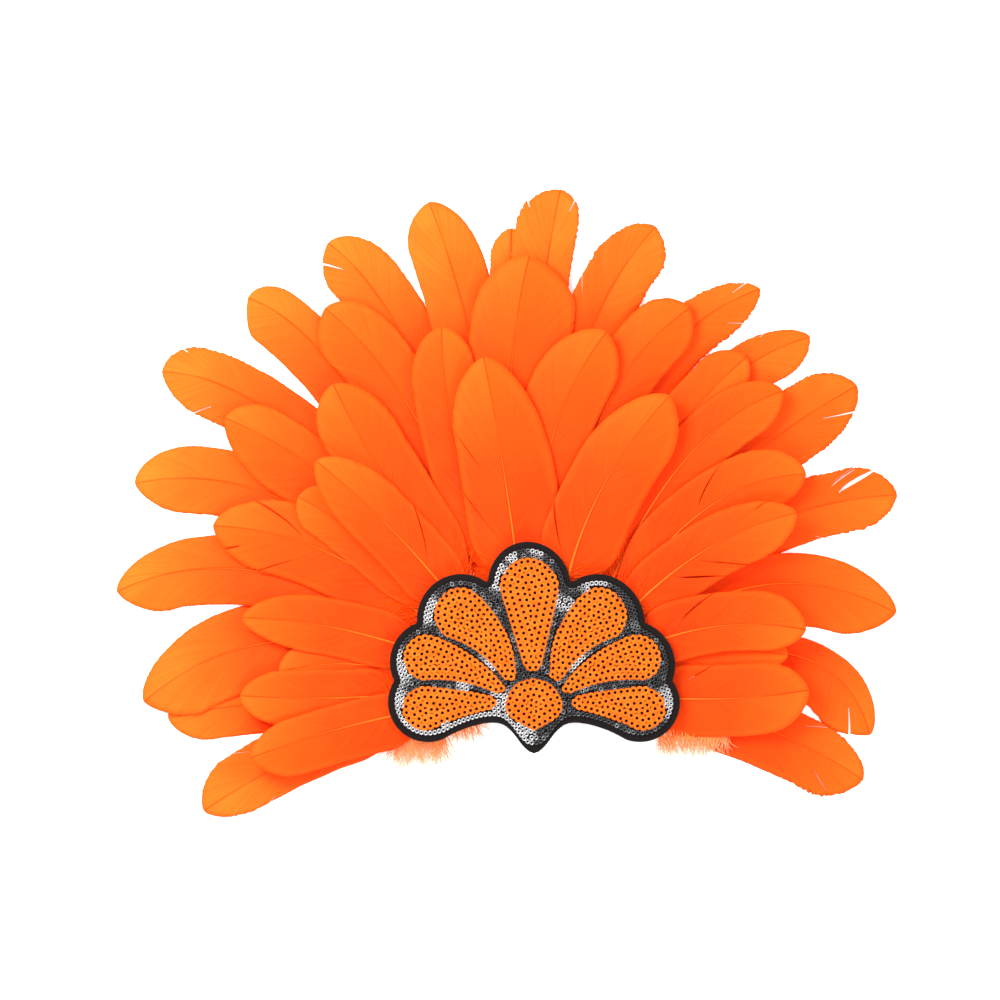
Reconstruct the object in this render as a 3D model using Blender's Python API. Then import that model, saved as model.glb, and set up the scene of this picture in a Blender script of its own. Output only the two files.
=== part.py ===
"""Carnival feather headdress: a fan of dyed goose feathers behind a scalloped sequin patch on felt.

Metres, +Z up. The headdress lies on its back: +Z comes out of its front, +Y points to the
top of the fan and +X to the right of someone who looks at its front. The origin is on the
rear face of the backing, behind the middle of the patch's medallion.

The feathers are laid one on another from the back to the front, in the table's order. Each
one takes its height from what lies under it, so a changed size moves all that lies above.
"""
import math
from collections import namedtuple

import bmesh
import bpy
import numpy as np

# The fan of feathers
FAN_REACH = 0.250          # from the medallion to the tips of the highest feathers
FEATHER_WIDTH = 0.036      # a usual feather, across both vanes
VANE_THICKNESS = 0.0008
VANE_CAMBER = 0.13         # how far a vane's edge hangs, as a share of its half width
VANE_FLEX = 0.0025         # how far an edge bends up before it lifts the shaft
SHAFT_WIDTH = 0.0026       # the bare quill
SHAFT_HEIGHT = 0.0018
SHAFT_THINNING = 0.6       # how much of its height the shaft loses towards the tip
STEEPEST_FALL = 0.10       # fall of a shaft over its run, past what holds it up
LAYER_GAP = 0.0003         # clear height between a feather and what it rests on

# How far the quills' ends lie from the medallion, for each tier
OUTER_ROOTS = 0.056
SECOND_ROOTS = 0.052
THIRD_ROOTS = 0.047
FRONT_ROOTS = 0.042

# How far the feathers' own spring lifts their tips off the tier below
SECOND_SPRING = 0.003
THIRD_SPRING = 0.006
FRONT_SPRING = 0.008

# The patch and the backing
PATCH_HALF_WIDTH = 0.073
BACKING_THICKNESS = 0.002
BACKING_INSET = 0.003      # how far the backing stays inside the patch's outline
FELT_THICKNESS = 0.0025
FELT_EDGE = 0.0032         # the bare felt that shows round the sequins
SEQUIN_LAYER = 0.0012      # height of the sewn sequins over the felt
SEAT_GAP = 0.0003          # between pieces that lie on each other
FIELD_GAP = 0.0003         # between a sequin field and its surround

# Shape of a feather along its length, as shares of the length
VANE_START = 0.04
VANE_FULL = 0.34
VANE_RISE = 0.6            # below 1 the vanes widen at once from the quill
LONGEST_TIP = 0.5
SHORT_STEP = 0.01
BODY_STATIONS = (0.0, 0.12, 0.26, 0.42, 0.60, 0.80, 1.0)
TIP_ANGLES = (28, 52, 73, 90)
BLUNT_END = 0.16           # half width at the very tip, as a share of the full half width
ACROSS = (-1.0, -0.5, 0.0, 0.5, 1.0)

ORANGE_FEATHER = (0.94, 0.20, 0.020, 1.0)
ORANGE_SEQUIN = (0.90, 0.25, 0.022, 1.0)
GUNMETAL_SEQUIN = (0.22, 0.21, 0.21, 1.0)
CHARCOAL_FELT = (0.020, 0.018, 0.018, 1.0)

# A plane tipped along Y: its height at the origin and its rise per length of Y
Plane = namedtuple("Plane", "level slope")

Tier = namedtuple("Tier", "roots spring")
TIERS = {
    "outer": Tier(OUTER_ROOTS, 0.0),
    "second": Tier(SECOND_ROOTS, SECOND_SPRING),
    "third": Tier(THIRD_ROOTS, THIRD_SPRING),
    "front": Tier(FRONT_ROOTS, FRONT_SPRING),
}

# Tip and middle of the shaft are shares of FAN_REACH from the medallion. The root heading is
# in degrees from +X, the width a share of FEATHER_WIDTH. "left" is the share of the width to
# the left of the shaft, seen from root to tip. Each vane narrows to the tip over a length of
# its own: "tip_left" and "tip_right" give it as a share of the feather's width.
Feather = namedtuple("Feather", "tier tip_x tip_y mid_x mid_y root width left tip_left tip_right")
FEATHERS = (
    Feather("outer", -0.732, -0.036, -0.500, -0.004, 183, 0.83, 0.50, 0.8, 1.0),
    Feather("outer", -0.660, -0.222, -0.432, -0.096, 190, 0.86, 0.45, 0.8, 0.7),
    Feather("outer", -0.780, -0.004, -0.524, 0.116, 162, 1.18, 0.52, 0.6, 1.5),
    Feather("outer", -0.834, 0.216, -0.544, 0.256, 150, 0.96, 0.52, 0.8, 1.7),
    Feather("outer", -0.798, 0.432, -0.492, 0.396, 139, 0.94, 0.52, 0.9, 1.0),
    Feather("outer", -0.744, 0.656, -0.472, 0.536, 128, 0.94, 0.55, 1.2, 0.9),
    Feather("outer", -0.572, 0.804, -0.364, 0.624, 118, 0.84, 0.60, 1.0, 1.0),
    Feather("outer", -0.412, 0.914, -0.232, 0.670, 109, 0.95, 0.50, 0.9, 1.3),
    Feather("outer", -0.210, 0.996, -0.104, 0.636, 101, 0.97, 0.52, 0.7, 1.1),
    Feather("outer", -0.044, 0.944, -0.044, 0.600, 95, 0.58, 0.50, 0.8, 0.8),
    Feather("outer", 0.054, 1.022, 0.002, 0.640, 88, 0.86, 0.60, 0.7, 0.5),
    Feather("outer", 0.244, 0.946, 0.088, 0.656, 80, 0.92, 0.50, 1.1, 0.6),
    Feather("outer", 0.452, 0.822, 0.212, 0.618, 68, 0.77, 0.46, 1.7, 1.2),
    Feather("outer", 0.552, 0.726, 0.296, 0.550, 59, 0.72, 0.44, 1.5, 0.9),
    Feather("outer", 0.646, 0.628, 0.382, 0.440, 49, 1.00, 0.47, 0.7, 1.0),
    Feather("outer", 0.726, 0.410, 0.436, 0.336, 38, 0.88, 0.50, 0.7, 0.7),
    Feather("outer", 0.724, 0.174, 0.462, 0.230, 28, 1.02, 0.42, 1.3, 0.7),
    Feather("outer", 0.672, -0.070, 0.526, 0.088, 15, 0.84, 0.32, 1.2, 0.6),
    Feather("outer", 0.658, -0.160, 0.462, -0.056, 4, 0.94, 0.42, 1.0, 0.7),
    Feather("second", 0.426, 0.686, 0.242, 0.476, 63, 0.80, 0.50, 0.7, 0.9),
    Feather("second", -0.618, 0.564, -0.378, 0.414, 132, 1.00, 0.60, 1.3, 0.7),
    Feather("second", -0.418, 0.784, -0.228, 0.550, 114, 1.00, 0.52, 0.7, 0.9),
    Feather("second", -0.008, 0.888, -0.048, 0.580, 94, 1.43, 0.44, 0.8, 0.6),
    Feather("second", 0.312, 0.784, 0.132, 0.560, 74, 0.90, 0.50, 0.7, 0.7),
    Feather("second", 0.498, 0.618, 0.292, 0.468, 53, 0.80, 0.48, 1.3, 0.9),
    Feather("second", -0.642, 0.348, -0.398, 0.288, 145, 1.04, 0.53, 0.8, 1.1),
    Feather("second", -0.472, 0.406, -0.332, 0.310, 138, 0.72, 0.50, 0.8, 0.8),
    Feather("second", -0.510, 0.054, -0.368, 0.072, 168, 0.64, 0.50, 0.8, 0.8),
    Feather("second", -0.588, 0.008, -0.398, 0.004, 176, 0.79, 0.50, 0.8, 0.9),
    Feather("third", 0.508, 0.090, 0.344, 0.096, 20, 0.64, 0.50, 0.8, 0.8),
    Feather("third", -0.184, 0.746, -0.152, 0.500, 105, 0.88, 0.52, 1.1, 0.8),
    Feather("third", 0.146, 0.736, 0.028, 0.492, 85, 1.08, 0.52, 0.9, 0.6),
    Feather("third", -0.402, 0.632, -0.276, 0.404, 123, 1.04, 0.47, 0.7, 1.0),
    Feather("third", 0.544, 0.452, 0.328, 0.370, 44, 0.86, 0.52, 1.0, 0.7),
    Feather("third", -0.584, 0.164, -0.378, 0.140, 157, 0.80, 0.50, 1.3, 1.3),
    Feather("front", -0.100, 0.686, -0.056, 0.430, 97, 1.32, 0.46, 0.8, 1.5),
    Feather("front", 0.272, 0.608, 0.124, 0.400, 72, 1.12, 0.47, 1.1, 0.7),
    Feather("front", -0.436, 0.478, -0.264, 0.320, 130, 0.90, 0.50, 1.2, 1.2),
    Feather("front", 0.526, 0.374, 0.318, 0.284, 40, 0.86, 0.46, 1.4, 0.9),
    Feather("front", 0.544, 0.140, 0.344, 0.144, 26, 0.83, 0.56, 0.8, 0.7),
    Feather("front", 0.550, 0.020, 0.360, 0.002, 5, 1.00, 0.47, 0.6, 0.7),
    Feather("front", -0.566, -0.116, -0.368, -0.052, 184, 0.80, 0.58, 0.8, 0.8),
)

# The patch's outline, as shares of PATCH_HALF_WIDTH: its scallops are circles, from the top
# down its right side, and its lower edge is a smooth line in to the point below the medallion.
Scallop = namedtuple("Scallop", "x y radius")
SCALLOPS = (
    Scallop(0.0, 0.790, 0.294),
    Scallop(0.486, 0.548, 0.315),
    Scallop(0.705, 0.260, 0.284),
    Scallop(0.726, -0.014, 0.274),
)
LOWER_EDGE = ((0.632, -0.272), (0.507, -0.209), (0.36, -0.164), (0.240, -0.160),
              (0.160, -0.208), (0.078, -0.312), (0.034, -0.353))
LOWER_POINT = (0.0, -0.366)
LEAN = 0.08                # how far the upper lobes lean left, the right-hand ones most
NOTCH_RADIUS = 0.0012      # the round bottom of the notch between two scallops
POINT_DRAW = 1.2           # how much faster than the inset the lower point draws in
SCALLOP_STEP = math.radians(18)
NOTCH_STEPS = 3

# Each sequin petal is a drop with a round head and a small foot, also as shares of
# PATCH_HALF_WIDTH. The swells say how far its sides bulge over straight ones.
Petal = namedtuple("Petal", "name head_x head_y head_radius foot_x foot_y foot_radius upper lower")
PETALS = (
    Petal("petal_top", 0.0, 0.766, 0.207, 0.0, 0.262, 0.068, 0.0, 0.0),
    Petal("petal_upper", 0.492, 0.585, 0.184, 0.168, 0.186, 0.055, 0.056, -0.045),
    Petal("petal_middle", 0.735, 0.290, 0.157, 0.240, 0.084, 0.042, 0.035, -0.035),
    Petal("petal_lower", 0.750, -0.058, 0.150, 0.300, -0.018, 0.044, 0.010, -0.014),
)
MEDALLION = ((0.0, 0.151), (0.115, 0.115), (0.184, 0.020), (0.190, -0.075), (0.100, -0.158))
MEDALLION_POINT = (0.0, -0.212)
HEAD_STEPS = 12
SWELL_TURN = 7.0           # radians by which the head's arc ends early, for a swell of 1
FOOT_STEPS = 3
CURVE_STEPS = 3

CELL = 0.001               # grid on which the heights under a feather are read


def smoothstep(value):
    value = min(max(value, 0.0), 1.0)
    return value * value * (3.0 - 2.0 * value)


def feather_length(feather):
    """Straight length from the quill's end to the tip."""
    root = root_point(feather)
    tip = np.array((feather.tip_x, feather.tip_y)) * FAN_REACH
    return float(np.linalg.norm(tip - root))


def root_point(feather):
    heading = math.radians(feather.root)
    return np.array((math.cos(heading), math.sin(heading))) * TIERS[feather.tier].roots


def shaft_point(feather, share):
    """Point of the shaft in plan, on the parabola through its root, middle and tip."""
    root = root_point(feather)
    middle = np.array((feather.mid_x, feather.mid_y)) * FAN_REACH
    tip = np.array((feather.tip_x, feather.tip_y)) * FAN_REACH
    from_root = (1.0 - share) * (1.0 - 2.0 * share)
    from_middle = 4.0 * share * (1.0 - share)
    from_tip = share * (2.0 * share - 1.0)
    return root * from_root + middle * from_middle + tip * from_tip


def tip_starts(feather):
    """Shares of the length where the left and the right vane begin to narrow to the tip."""
    width_share = feather.width * FEATHER_WIDTH / feather_length(feather)
    return [1.0 - min(taper * width_share, LONGEST_TIP) for taper in (feather.tip_left, feather.tip_right)]


def stations(feather):
    """Shares of the length at which the feather has a cross-section, closer together at the tip."""
    start = min(tip_starts(feather))
    along = [share * start for share in BODY_STATIONS]
    along += [start + (1.0 - start) * math.sin(math.radians(angle)) for angle in TIP_ANGLES]
    return np.array(along)


def vane_share(share, tip_start):
    """Width of one vane at a station, as a share of its full width."""
    rise = smoothstep((share - VANE_START) / (VANE_FULL - VANE_START)) ** VANE_RISE
    if share <= tip_start:
        return rise
    into_tip = (share - tip_start) / (1.0 - tip_start)
    return rise * max(math.sqrt(max(1.0 - into_tip ** 2, 0.0)), BLUNT_END)


def feather_plan(feather):
    """Plan of the cross-sections: points, half widths and shares of the length."""
    along = stations(feather)
    width = feather.width * FEATHER_WIDTH
    starts = tip_starts(feather)
    points = np.zeros((len(along), len(ACROSS), 2))
    reaches = np.zeros((len(along), len(ACROSS)))
    for row, share in enumerate(along):
        heading = shaft_point(feather, share + SHORT_STEP) - shaft_point(feather, share - SHORT_STEP)
        heading /= np.linalg.norm(heading)
        to_left = np.array((-heading[1], heading[0]))
        left = width * feather.left * vane_share(share, starts[0])
        right = width * (1.0 - feather.left) * vane_share(share, starts[1])
        for column, across in enumerate(ACROSS):
            reach = max(left if across > 0 else right, 0.5 * SHAFT_WIDTH)
            reaches[row, column] = abs(across) * reach
            points[row, column] = shaft_point(feather, share) + to_left * across * reach
    return points, reaches, along


def inside_outline(x, y, outline):
    """True where a point lies inside the closed outline."""
    inside = np.zeros(np.shape(x), bool)
    for (x0, y0), (x1, y1) in zip(outline, outline[1:] + outline[:1]):
        crosses = (y0 > y) != (y1 > y)
        rise = y1 - y0 if y1 != y0 else 1.0
        inside ^= crosses & (x < (x1 - x0) * (y - y0) / rise + x0)
    return inside


class Pile:
    """Height of what has been laid so far, on a square grid over the table."""

    def __init__(self, reach):
        count = int(2.0 * reach / CELL) + 1
        self.line = (np.arange(count) - 0.5 * (count - 1)) * CELL
        self.height = np.zeros((count, count))

    def cells_in(self, corners, margin):
        """Rows, columns and corner weights of the cells in a triangle grown by the margin."""
        low = corners.min(axis=0) - margin
        high = corners.max(axis=0) + margin
        columns = np.flatnonzero((self.line >= low[0]) & (self.line <= high[0]))
        rows = np.flatnonzero((self.line >= low[1]) & (self.line <= high[1]))
        columns, rows = np.meshgrid(columns, rows)
        a, b, c = corners
        area = (b[0] - a[0]) * (c[1] - a[1]) - (b[1] - a[1]) * (c[0] - a[0])
        x, y = self.line[columns], self.line[rows]
        weight_a = ((b[0] - x) * (c[1] - y) - (b[1] - y) * (c[0] - x)) / area
        weight_b = ((c[0] - x) * (a[1] - y) - (c[1] - y) * (a[0] - x)) / area
        weights = np.stack((weight_a, weight_b, 1.0 - weight_a - weight_b))
        sides = np.array([np.linalg.norm(c - b), np.linalg.norm(a - c), np.linalg.norm(b - a)])
        reach = margin * sides / abs(area)
        inside = np.all(weights >= -reach[:, None, None], axis=0)
        return rows[inside], columns[inside], weights[:, inside]

    def highest_in(self, corners):
        rows, columns, _ = self.cells_in(corners, 1.2 * CELL)
        return float(self.height[rows, columns].max()) if len(rows) else 0.0

    def lay(self, corners, heights):
        """Raise the pile to a triangle of a new top surface."""
        rows, columns, weights = self.cells_in(corners, 0.6 * CELL)
        surface = np.minimum(np.tensordot(heights, weights, 1), heights.max())
        self.height[rows, columns] = np.maximum(self.height[rows, columns], surface)

    def cells_of(self, outline):
        x, y = np.meshgrid(self.line, self.line)
        return inside_outline(x, y, outline)


def quad_triangles(plan):
    """Both ways of halving each quad of the plan, as corner indices."""
    for row in range(plan.shape[0] - 1):
        for column in range(plan.shape[1] - 1):
            a, b = (row, column), (row + 1, column)
            c, d = (row + 1, column + 1), (row, column + 1)
            yield (a, b, c)
            yield (a, c, d)
            yield (a, b, d)
            yield (b, c, d)


def needed_heights(plan, pile):
    """Lowest height of each point of the plan that keeps its faces clear of the pile."""
    needed = np.zeros(plan.shape[:2])
    for corners in quad_triangles(plan):
        top = pile.highest_in(np.array([plan[corner] for corner in corners]))
        if top > 0.0:
            for corner in corners:
                needed[corner] = max(needed[corner], top + LAYER_GAP)
    return needed


def stiff_line(along, heights, length):
    """Heights of a stiff shaft that bridges the hollows between what holds it up."""
    bridged = heights.copy()
    for row in range(1, len(along) - 1):
        for before in range(row):
            for after in range(row + 1, len(along)):
                share = (along[row] - along[before]) / (along[after] - along[before])
                chord = heights[before] + (heights[after] - heights[before]) * share
                bridged[row] = max(bridged[row], chord)
    for row in range(1, len(along)):
        run = (along[row] - along[row - 1]) * length
        bridged[row] = max(bridged[row], bridged[row - 1] - STEEPEST_FALL * run)
    return bridged


def thickness(feather, along):
    """Thickness at each point: a raised shaft between thin vanes, and a round bare quill."""
    result = np.full((len(along), len(ACROSS)), VANE_THICKNESS)
    for row, share in enumerate(along):
        shaft = SHAFT_HEIGHT * (1.0 - SHAFT_THINNING * share)
        bare = 1.0 - smoothstep((share - VANE_START) / VANE_START)
        for column, across in enumerate(ACROSS):
            crown = 1.0 if across == 0.0 else bare * (1.0 - 0.6 * abs(across))
            result[row, column] += (shaft - VANE_THICKNESS) * crown
    return result


def rest_feather(feather, pile):
    """Underside and top of the feather where it comes to lie, and its plan."""
    plan, reaches, along = feather_plan(feather)
    needed = needed_heights(plan, pile)
    middle = ACROSS.index(0.0)
    shaft = np.maximum(needed[:, middle], needed.max(axis=1) - VANE_FLEX)
    shaft = stiff_line(along, shaft, feather_length(feather))
    shaft += TIERS[feather.tier].spring * along ** 2
    hang = VANE_CAMBER * reaches * np.abs(ACROSS)
    under = np.maximum(needed, shaft[:, None] - hang)
    for _ in range(2):
        eased = under.copy()
        eased[1:-1] = 0.5 * under[1:-1] + 0.25 * (under[:-2] + under[2:])
        under = np.maximum(needed, eased)
    top = under + thickness(feather, along)
    for corners in quad_triangles(plan):
        heights = np.array([top[corner] for corner in corners])
        pile.lay(np.array([plan[corner] for corner in corners]), heights)
    return plan, under, top


def material(name, colour, roughness, metallic=0.0):
    surface = bpy.data.materials.new(name)
    surface.use_nodes = True
    shader = surface.node_tree.nodes["Principled BSDF"]
    shader.inputs["Base Color"].default_value = colour
    shader.inputs["Roughness"].default_value = roughness
    shader.inputs["Metallic"].default_value = metallic
    return surface


def add_object(name, mesh_builder, surface):
    """Close a bmesh into a named object with its faces pointing out."""
    bmesh.ops.recalc_face_normals(mesh_builder, faces=mesh_builder.faces)
    mesh = bpy.data.meshes.new(name)
    mesh_builder.to_mesh(mesh)
    mesh_builder.free()
    mesh.materials.append(surface)
    piece = bpy.data.objects.new(name, mesh)
    bpy.context.scene.collection.objects.link(piece)
    return piece


def add_feather(name, feather, pile, surface):
    """A feather: a grid shaped to its underside, extruded up to its top."""
    plan, under, top = rest_feather(feather, pile)
    rows, columns = under.shape
    bm = bmesh.new()
    point = bm.verts.layers.int.new("point")
    bmesh.ops.create_grid(bm, x_segments=columns - 1, y_segments=rows - 1, size=1.0)
    for index, vert in enumerate(bm.verts):
        row, column = divmod(index, columns)
        vert.co = (*plan[row, column], under[row, column])
        vert[point] = index
    grown = bmesh.ops.extrude_face_region(bm, geom=bm.faces[:])
    raised = [item for item in grown["geom"] if isinstance(item, bmesh.types.BMVert)]
    for vert in raised:
        vert.co.z = top[divmod(vert[point], columns)]
    bmesh.ops.triangulate(bm, faces=bm.faces)
    return add_object(name, bm, surface)


def notch_centre(first, second, notch):
    """Centre of the small circle that rounds the notch between two neighbouring scallops."""
    (x0, y0, r0), (x1, y1, r1) = first, second
    apart = math.hypot(x1 - x0, y1 - y0)
    along = ((r0 + notch) ** 2 - (r1 + notch) ** 2 + apart * apart) / (2.0 * apart)
    off = math.sqrt((r0 + notch) ** 2 - along * along)
    unit = ((x1 - x0) / apart, (y1 - y0) / apart)
    foot = (x0 + along * unit[0], y0 + along * unit[1])
    choices = [(foot[0] - off * unit[1] * side, foot[1] + off * unit[0] * side) for side in (1, -1)]
    return max(choices, key=lambda point: math.hypot(*point))


def arc(centre_x, centre_y, radius, start, end, steps):
    """Points on an arc from the start to the end angle, both ends included."""
    angles = [start + (end - start) * step / steps for step in range(steps + 1)]
    return [(centre_x + radius * math.cos(angle), centre_y + radius * math.sin(angle))
            for angle in angles]


def smooth_line(points, steps):
    """A curve through the points, with the given number of steps between two of them."""
    ends = [points[0]] + list(points) + [points[-1]]
    line = []
    for before, start, end, after in zip(ends, ends[1:], ends[2:], ends[3:]):
        for step in range(steps):
            share = step / steps
            line.append(tuple(
                0.5 * (2.0 * s + (e - b) * share + (2.0 * b - 5.0 * s + 4.0 * e - a) * share ** 2
                       + (3.0 * s - 3.0 * e + a - b) * share ** 3)
                for b, s, e, a in zip(before, start, end, after)))
    return line + [tuple(points[-1])]


def leaned(outline):
    """The patch isn't quite even: its upper lobes lean to the left."""
    return [(x - LEAN * max(y, 0.0) * (0.5 + 0.6 * x / PATCH_HALF_WIDTH), y) for x, y in outline]


def mirrored(right_side):
    """Close an outline whose right side runs from its top down to its point."""
    left_side = [(-x, y) for x, y in reversed(right_side) if abs(x) > 1e-9]
    return leaned(right_side + left_side)


def patch_outline(inset):
    """The patch's scalloped outline, drawn in by the inset."""
    size = PATCH_HALF_WIDTH
    notch = NOTCH_RADIUS + inset
    circles = [(lobe.x * size, lobe.y * size, lobe.radius * size - inset) for lobe in SCALLOPS]
    edge = smooth_line([(x * size, y * size + inset) for x, y in LOWER_EDGE], CURVE_STEPS)
    side = []
    start = math.pi / 2.0
    for circle, following in zip(circles, circles[1:]):
        x, y, radius = circle
        centre = notch_centre(circle, following, notch)
        end = math.atan2(centre[1] - y, centre[0] - x)
        side += arc(x, y, radius, start, end, max(2, round((start - end) / SCALLOP_STEP)))
        into = end + math.pi
        out = math.atan2(following[1] - centre[1], following[0] - centre[0])
        turn = (out - into + math.pi) % (2.0 * math.pi) - math.pi
        side += arc(*centre, notch, into, into + turn, NOTCH_STEPS)[1:-1]
        start = out + math.pi if out < 0.0 else out - math.pi
    x, y, radius = circles[-1]
    end = math.atan2(edge[0][1] - y, edge[0][0] - x)
    side += arc(x, y, radius, start, end, round((start - end) / SCALLOP_STEP))[:-1] + edge
    side.append((0.0, LOWER_POINT[1] * size + POINT_DRAW * inset))
    return mirrored(side)


def petal_outline(petal, growth, mirror):
    """A drop: an arc round the head, swelling sides and a small arc round the foot."""
    size = PATCH_HALF_WIDTH
    head = (petal.head_x * size, petal.head_y * size)
    foot = (petal.foot_x * size, petal.foot_y * size)
    head_radius = petal.head_radius * size + growth
    foot_radius = petal.foot_radius * size + growth
    apart = math.hypot(foot[0] - head[0], foot[1] - head[1])
    heading = math.atan2(foot[1] - head[1], foot[0] - head[0])
    lean = math.acos((head_radius - foot_radius) / apart)
    start = heading + lean + SWELL_TURN * max(petal.lower, 0.0)
    end = heading + 2.0 * math.pi - lean - SWELL_TURN * max(petal.upper, 0.0)
    head_arc = arc(*head, head_radius, start, end, HEAD_STEPS)
    foot_arc = arc(*foot, foot_radius, heading - lean, heading + lean, FOOT_STEPS)
    outline = head_arc
    outline += swollen_side(head_arc[-1], foot_arc[0], petal.upper * size, heading - lean)
    outline += foot_arc
    outline += swollen_side(foot_arc[-1], head_arc[0], petal.lower * size, heading + lean)
    return leaned([(-x, y) for x, y in outline] if mirror else outline)


def swollen_side(start, end, swell, outward):
    """Points between two ends on a low arch that stands outward."""
    points = []
    for step in range(1, CURVE_STEPS):
        share = step / CURVE_STEPS
        out = swell * 4.0 * share * (1.0 - share)
        points.append((start[0] + (end[0] - start[0]) * share + out * math.cos(outward),
                       start[1] + (end[1] - start[1]) * share + out * math.sin(outward)))
    return points


def medallion_outline(growth):
    """The pointed medallion below the petals' feet."""
    size = PATCH_HALF_WIDTH
    middle = -0.03 * size
    side = smooth_line([(x * size, y * size) for x, y in MEDALLION + (MEDALLION_POINT,)], CURVE_STEPS)
    grown = []
    for x, y in side:
        distance = math.hypot(x, y - middle)
        scale = (distance + growth) / distance
        grown.append((x * scale, middle + (y - middle) * scale))
    return mirrored(grown)


def resting_plane(pile, outline):
    """The plane on which a stiff sheet of that outline comes to rest, tipped only along Y."""
    inside = pile.cells_of(outline)
    rows = np.flatnonzero(inside.any(axis=1))
    y = pile.line[rows]
    tops = np.array([pile.height[row][inside[row]].max() for row in rows])
    middle = float(np.average(y, weights=inside[rows].sum(axis=1)))
    best = (-1.0, 0.0, 0.0)
    for lower in np.flatnonzero(y < middle):
        for upper in np.flatnonzero(y >= middle):
            slope = (tops[upper] - tops[lower]) / (y[upper] - y[lower])
            level = tops[lower] - slope * y[lower]
            best = max(best, (level + slope * middle, level, slope))
    return Plane(best[1], best[2])


def add_plate(name, outline, windows, plane, above, height, surface):
    """A sheet with an outline and windows, whose lower face lies above the plane."""
    bm = bmesh.new()
    for loop in [outline] + windows:
        verts = [bm.verts.new((x, y, plane.level + plane.slope * y + above)) for x, y in loop]
        for start, end in zip(verts, verts[1:] + verts[:1]):
            bm.edges.new((start, end))
    bmesh.ops.triangle_fill(bm, use_beauty=True, use_dissolve=False, edges=bm.edges)
    grown = bmesh.ops.extrude_face_region(bm, geom=bm.faces[:])
    raised = [item for item in grown["geom"] if isinstance(item, bmesh.types.BMVert)]
    bmesh.ops.translate(bm, verts=raised, vec=(0.0, 0.0, height))
    bmesh.ops.triangulate(bm, faces=bm.faces)
    return add_object(name, bm, surface)


def build_feathers(pile):
    surface = material("dyed_feather", ORANGE_FEATHER, 0.55)
    counts = dict.fromkeys(TIERS, 0)
    for feather in FEATHERS:
        counts[feather.tier] += 1
        add_feather(f"feather_{feather.tier}_{counts[feather.tier]:02d}", feather, pile, surface)


def build_patch(plane):
    """Felt on the quills, with the sequin fields and their gunmetal surround on it."""
    felt = material("charcoal_felt", CHARCOAL_FELT, 0.95)
    orange = material("orange_sequin", ORANGE_SEQUIN, 0.45)
    gunmetal = material("gunmetal_sequin", GUNMETAL_SEQUIN, 0.3, 0.8)
    add_plate("patch_felt", patch_outline(0.0), [], plane, SEAT_GAP, FELT_THICKNESS, felt)
    low = SEAT_GAP + FELT_THICKNESS + SEAT_GAP
    windows = [medallion_outline(FIELD_GAP)]
    add_plate("medallion_sequins", medallion_outline(0.0), [], plane, low, SEQUIN_LAYER, orange)
    for petal in PETALS:
        for side, mirror in (("right", False), ("left", True)):
            if petal.head_x == 0.0 and mirror:
                continue
            name = petal.name if petal.head_x == 0.0 else f"{petal.name}_{side}"
            windows.append(petal_outline(petal, FIELD_GAP, mirror))
            outline = petal_outline(petal, 0.0, mirror)
            add_plate(name, outline, [], plane, low, SEQUIN_LAYER, orange)
    border = patch_outline(FELT_EDGE)
    add_plate("border_sequins", border, windows, plane, low, SEQUIN_LAYER, gunmetal)


def main():
    for old in list(bpy.data.objects):
        bpy.data.objects.remove(old)
    pile = Pile(FAN_REACH * 1.2)
    backing = patch_outline(BACKING_INSET)
    add_plate("backing_felt", backing, [], Plane(0.0, 0.0), 0.0, BACKING_THICKNESS,
              material("backing_felt", CHARCOAL_FELT, 0.95))
    pile.height[pile.cells_of(backing)] = BACKING_THICKNESS
    build_feathers(pile)
    build_patch(resting_plane(pile, patch_outline(0.0)))


main()
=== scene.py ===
"""Carnival feather headdress, dressed: barbed feathers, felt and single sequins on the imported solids.

Metres, +Z up. The headdress lies on its back: +Z comes out of its front, +Y points to the top
of the fan and +X to the right. The origin is behind the middle of the patch's medallion.
"""
import math
import random
from collections import namedtuple

import bmesh
import bpy
import numpy as np
from mathutils import Matrix, Vector


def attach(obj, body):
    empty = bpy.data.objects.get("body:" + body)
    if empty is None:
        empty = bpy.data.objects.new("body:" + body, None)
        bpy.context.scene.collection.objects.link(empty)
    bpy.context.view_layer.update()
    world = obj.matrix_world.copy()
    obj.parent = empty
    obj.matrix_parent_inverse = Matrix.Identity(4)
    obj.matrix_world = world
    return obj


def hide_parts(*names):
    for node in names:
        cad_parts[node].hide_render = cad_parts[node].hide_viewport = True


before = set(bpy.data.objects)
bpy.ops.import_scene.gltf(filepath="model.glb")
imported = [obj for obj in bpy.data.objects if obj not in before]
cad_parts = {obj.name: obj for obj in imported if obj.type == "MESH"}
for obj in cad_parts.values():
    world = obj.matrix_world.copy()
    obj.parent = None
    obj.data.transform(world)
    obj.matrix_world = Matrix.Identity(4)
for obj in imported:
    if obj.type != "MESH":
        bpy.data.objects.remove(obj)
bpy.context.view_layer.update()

chance = random.Random(17)

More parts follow.
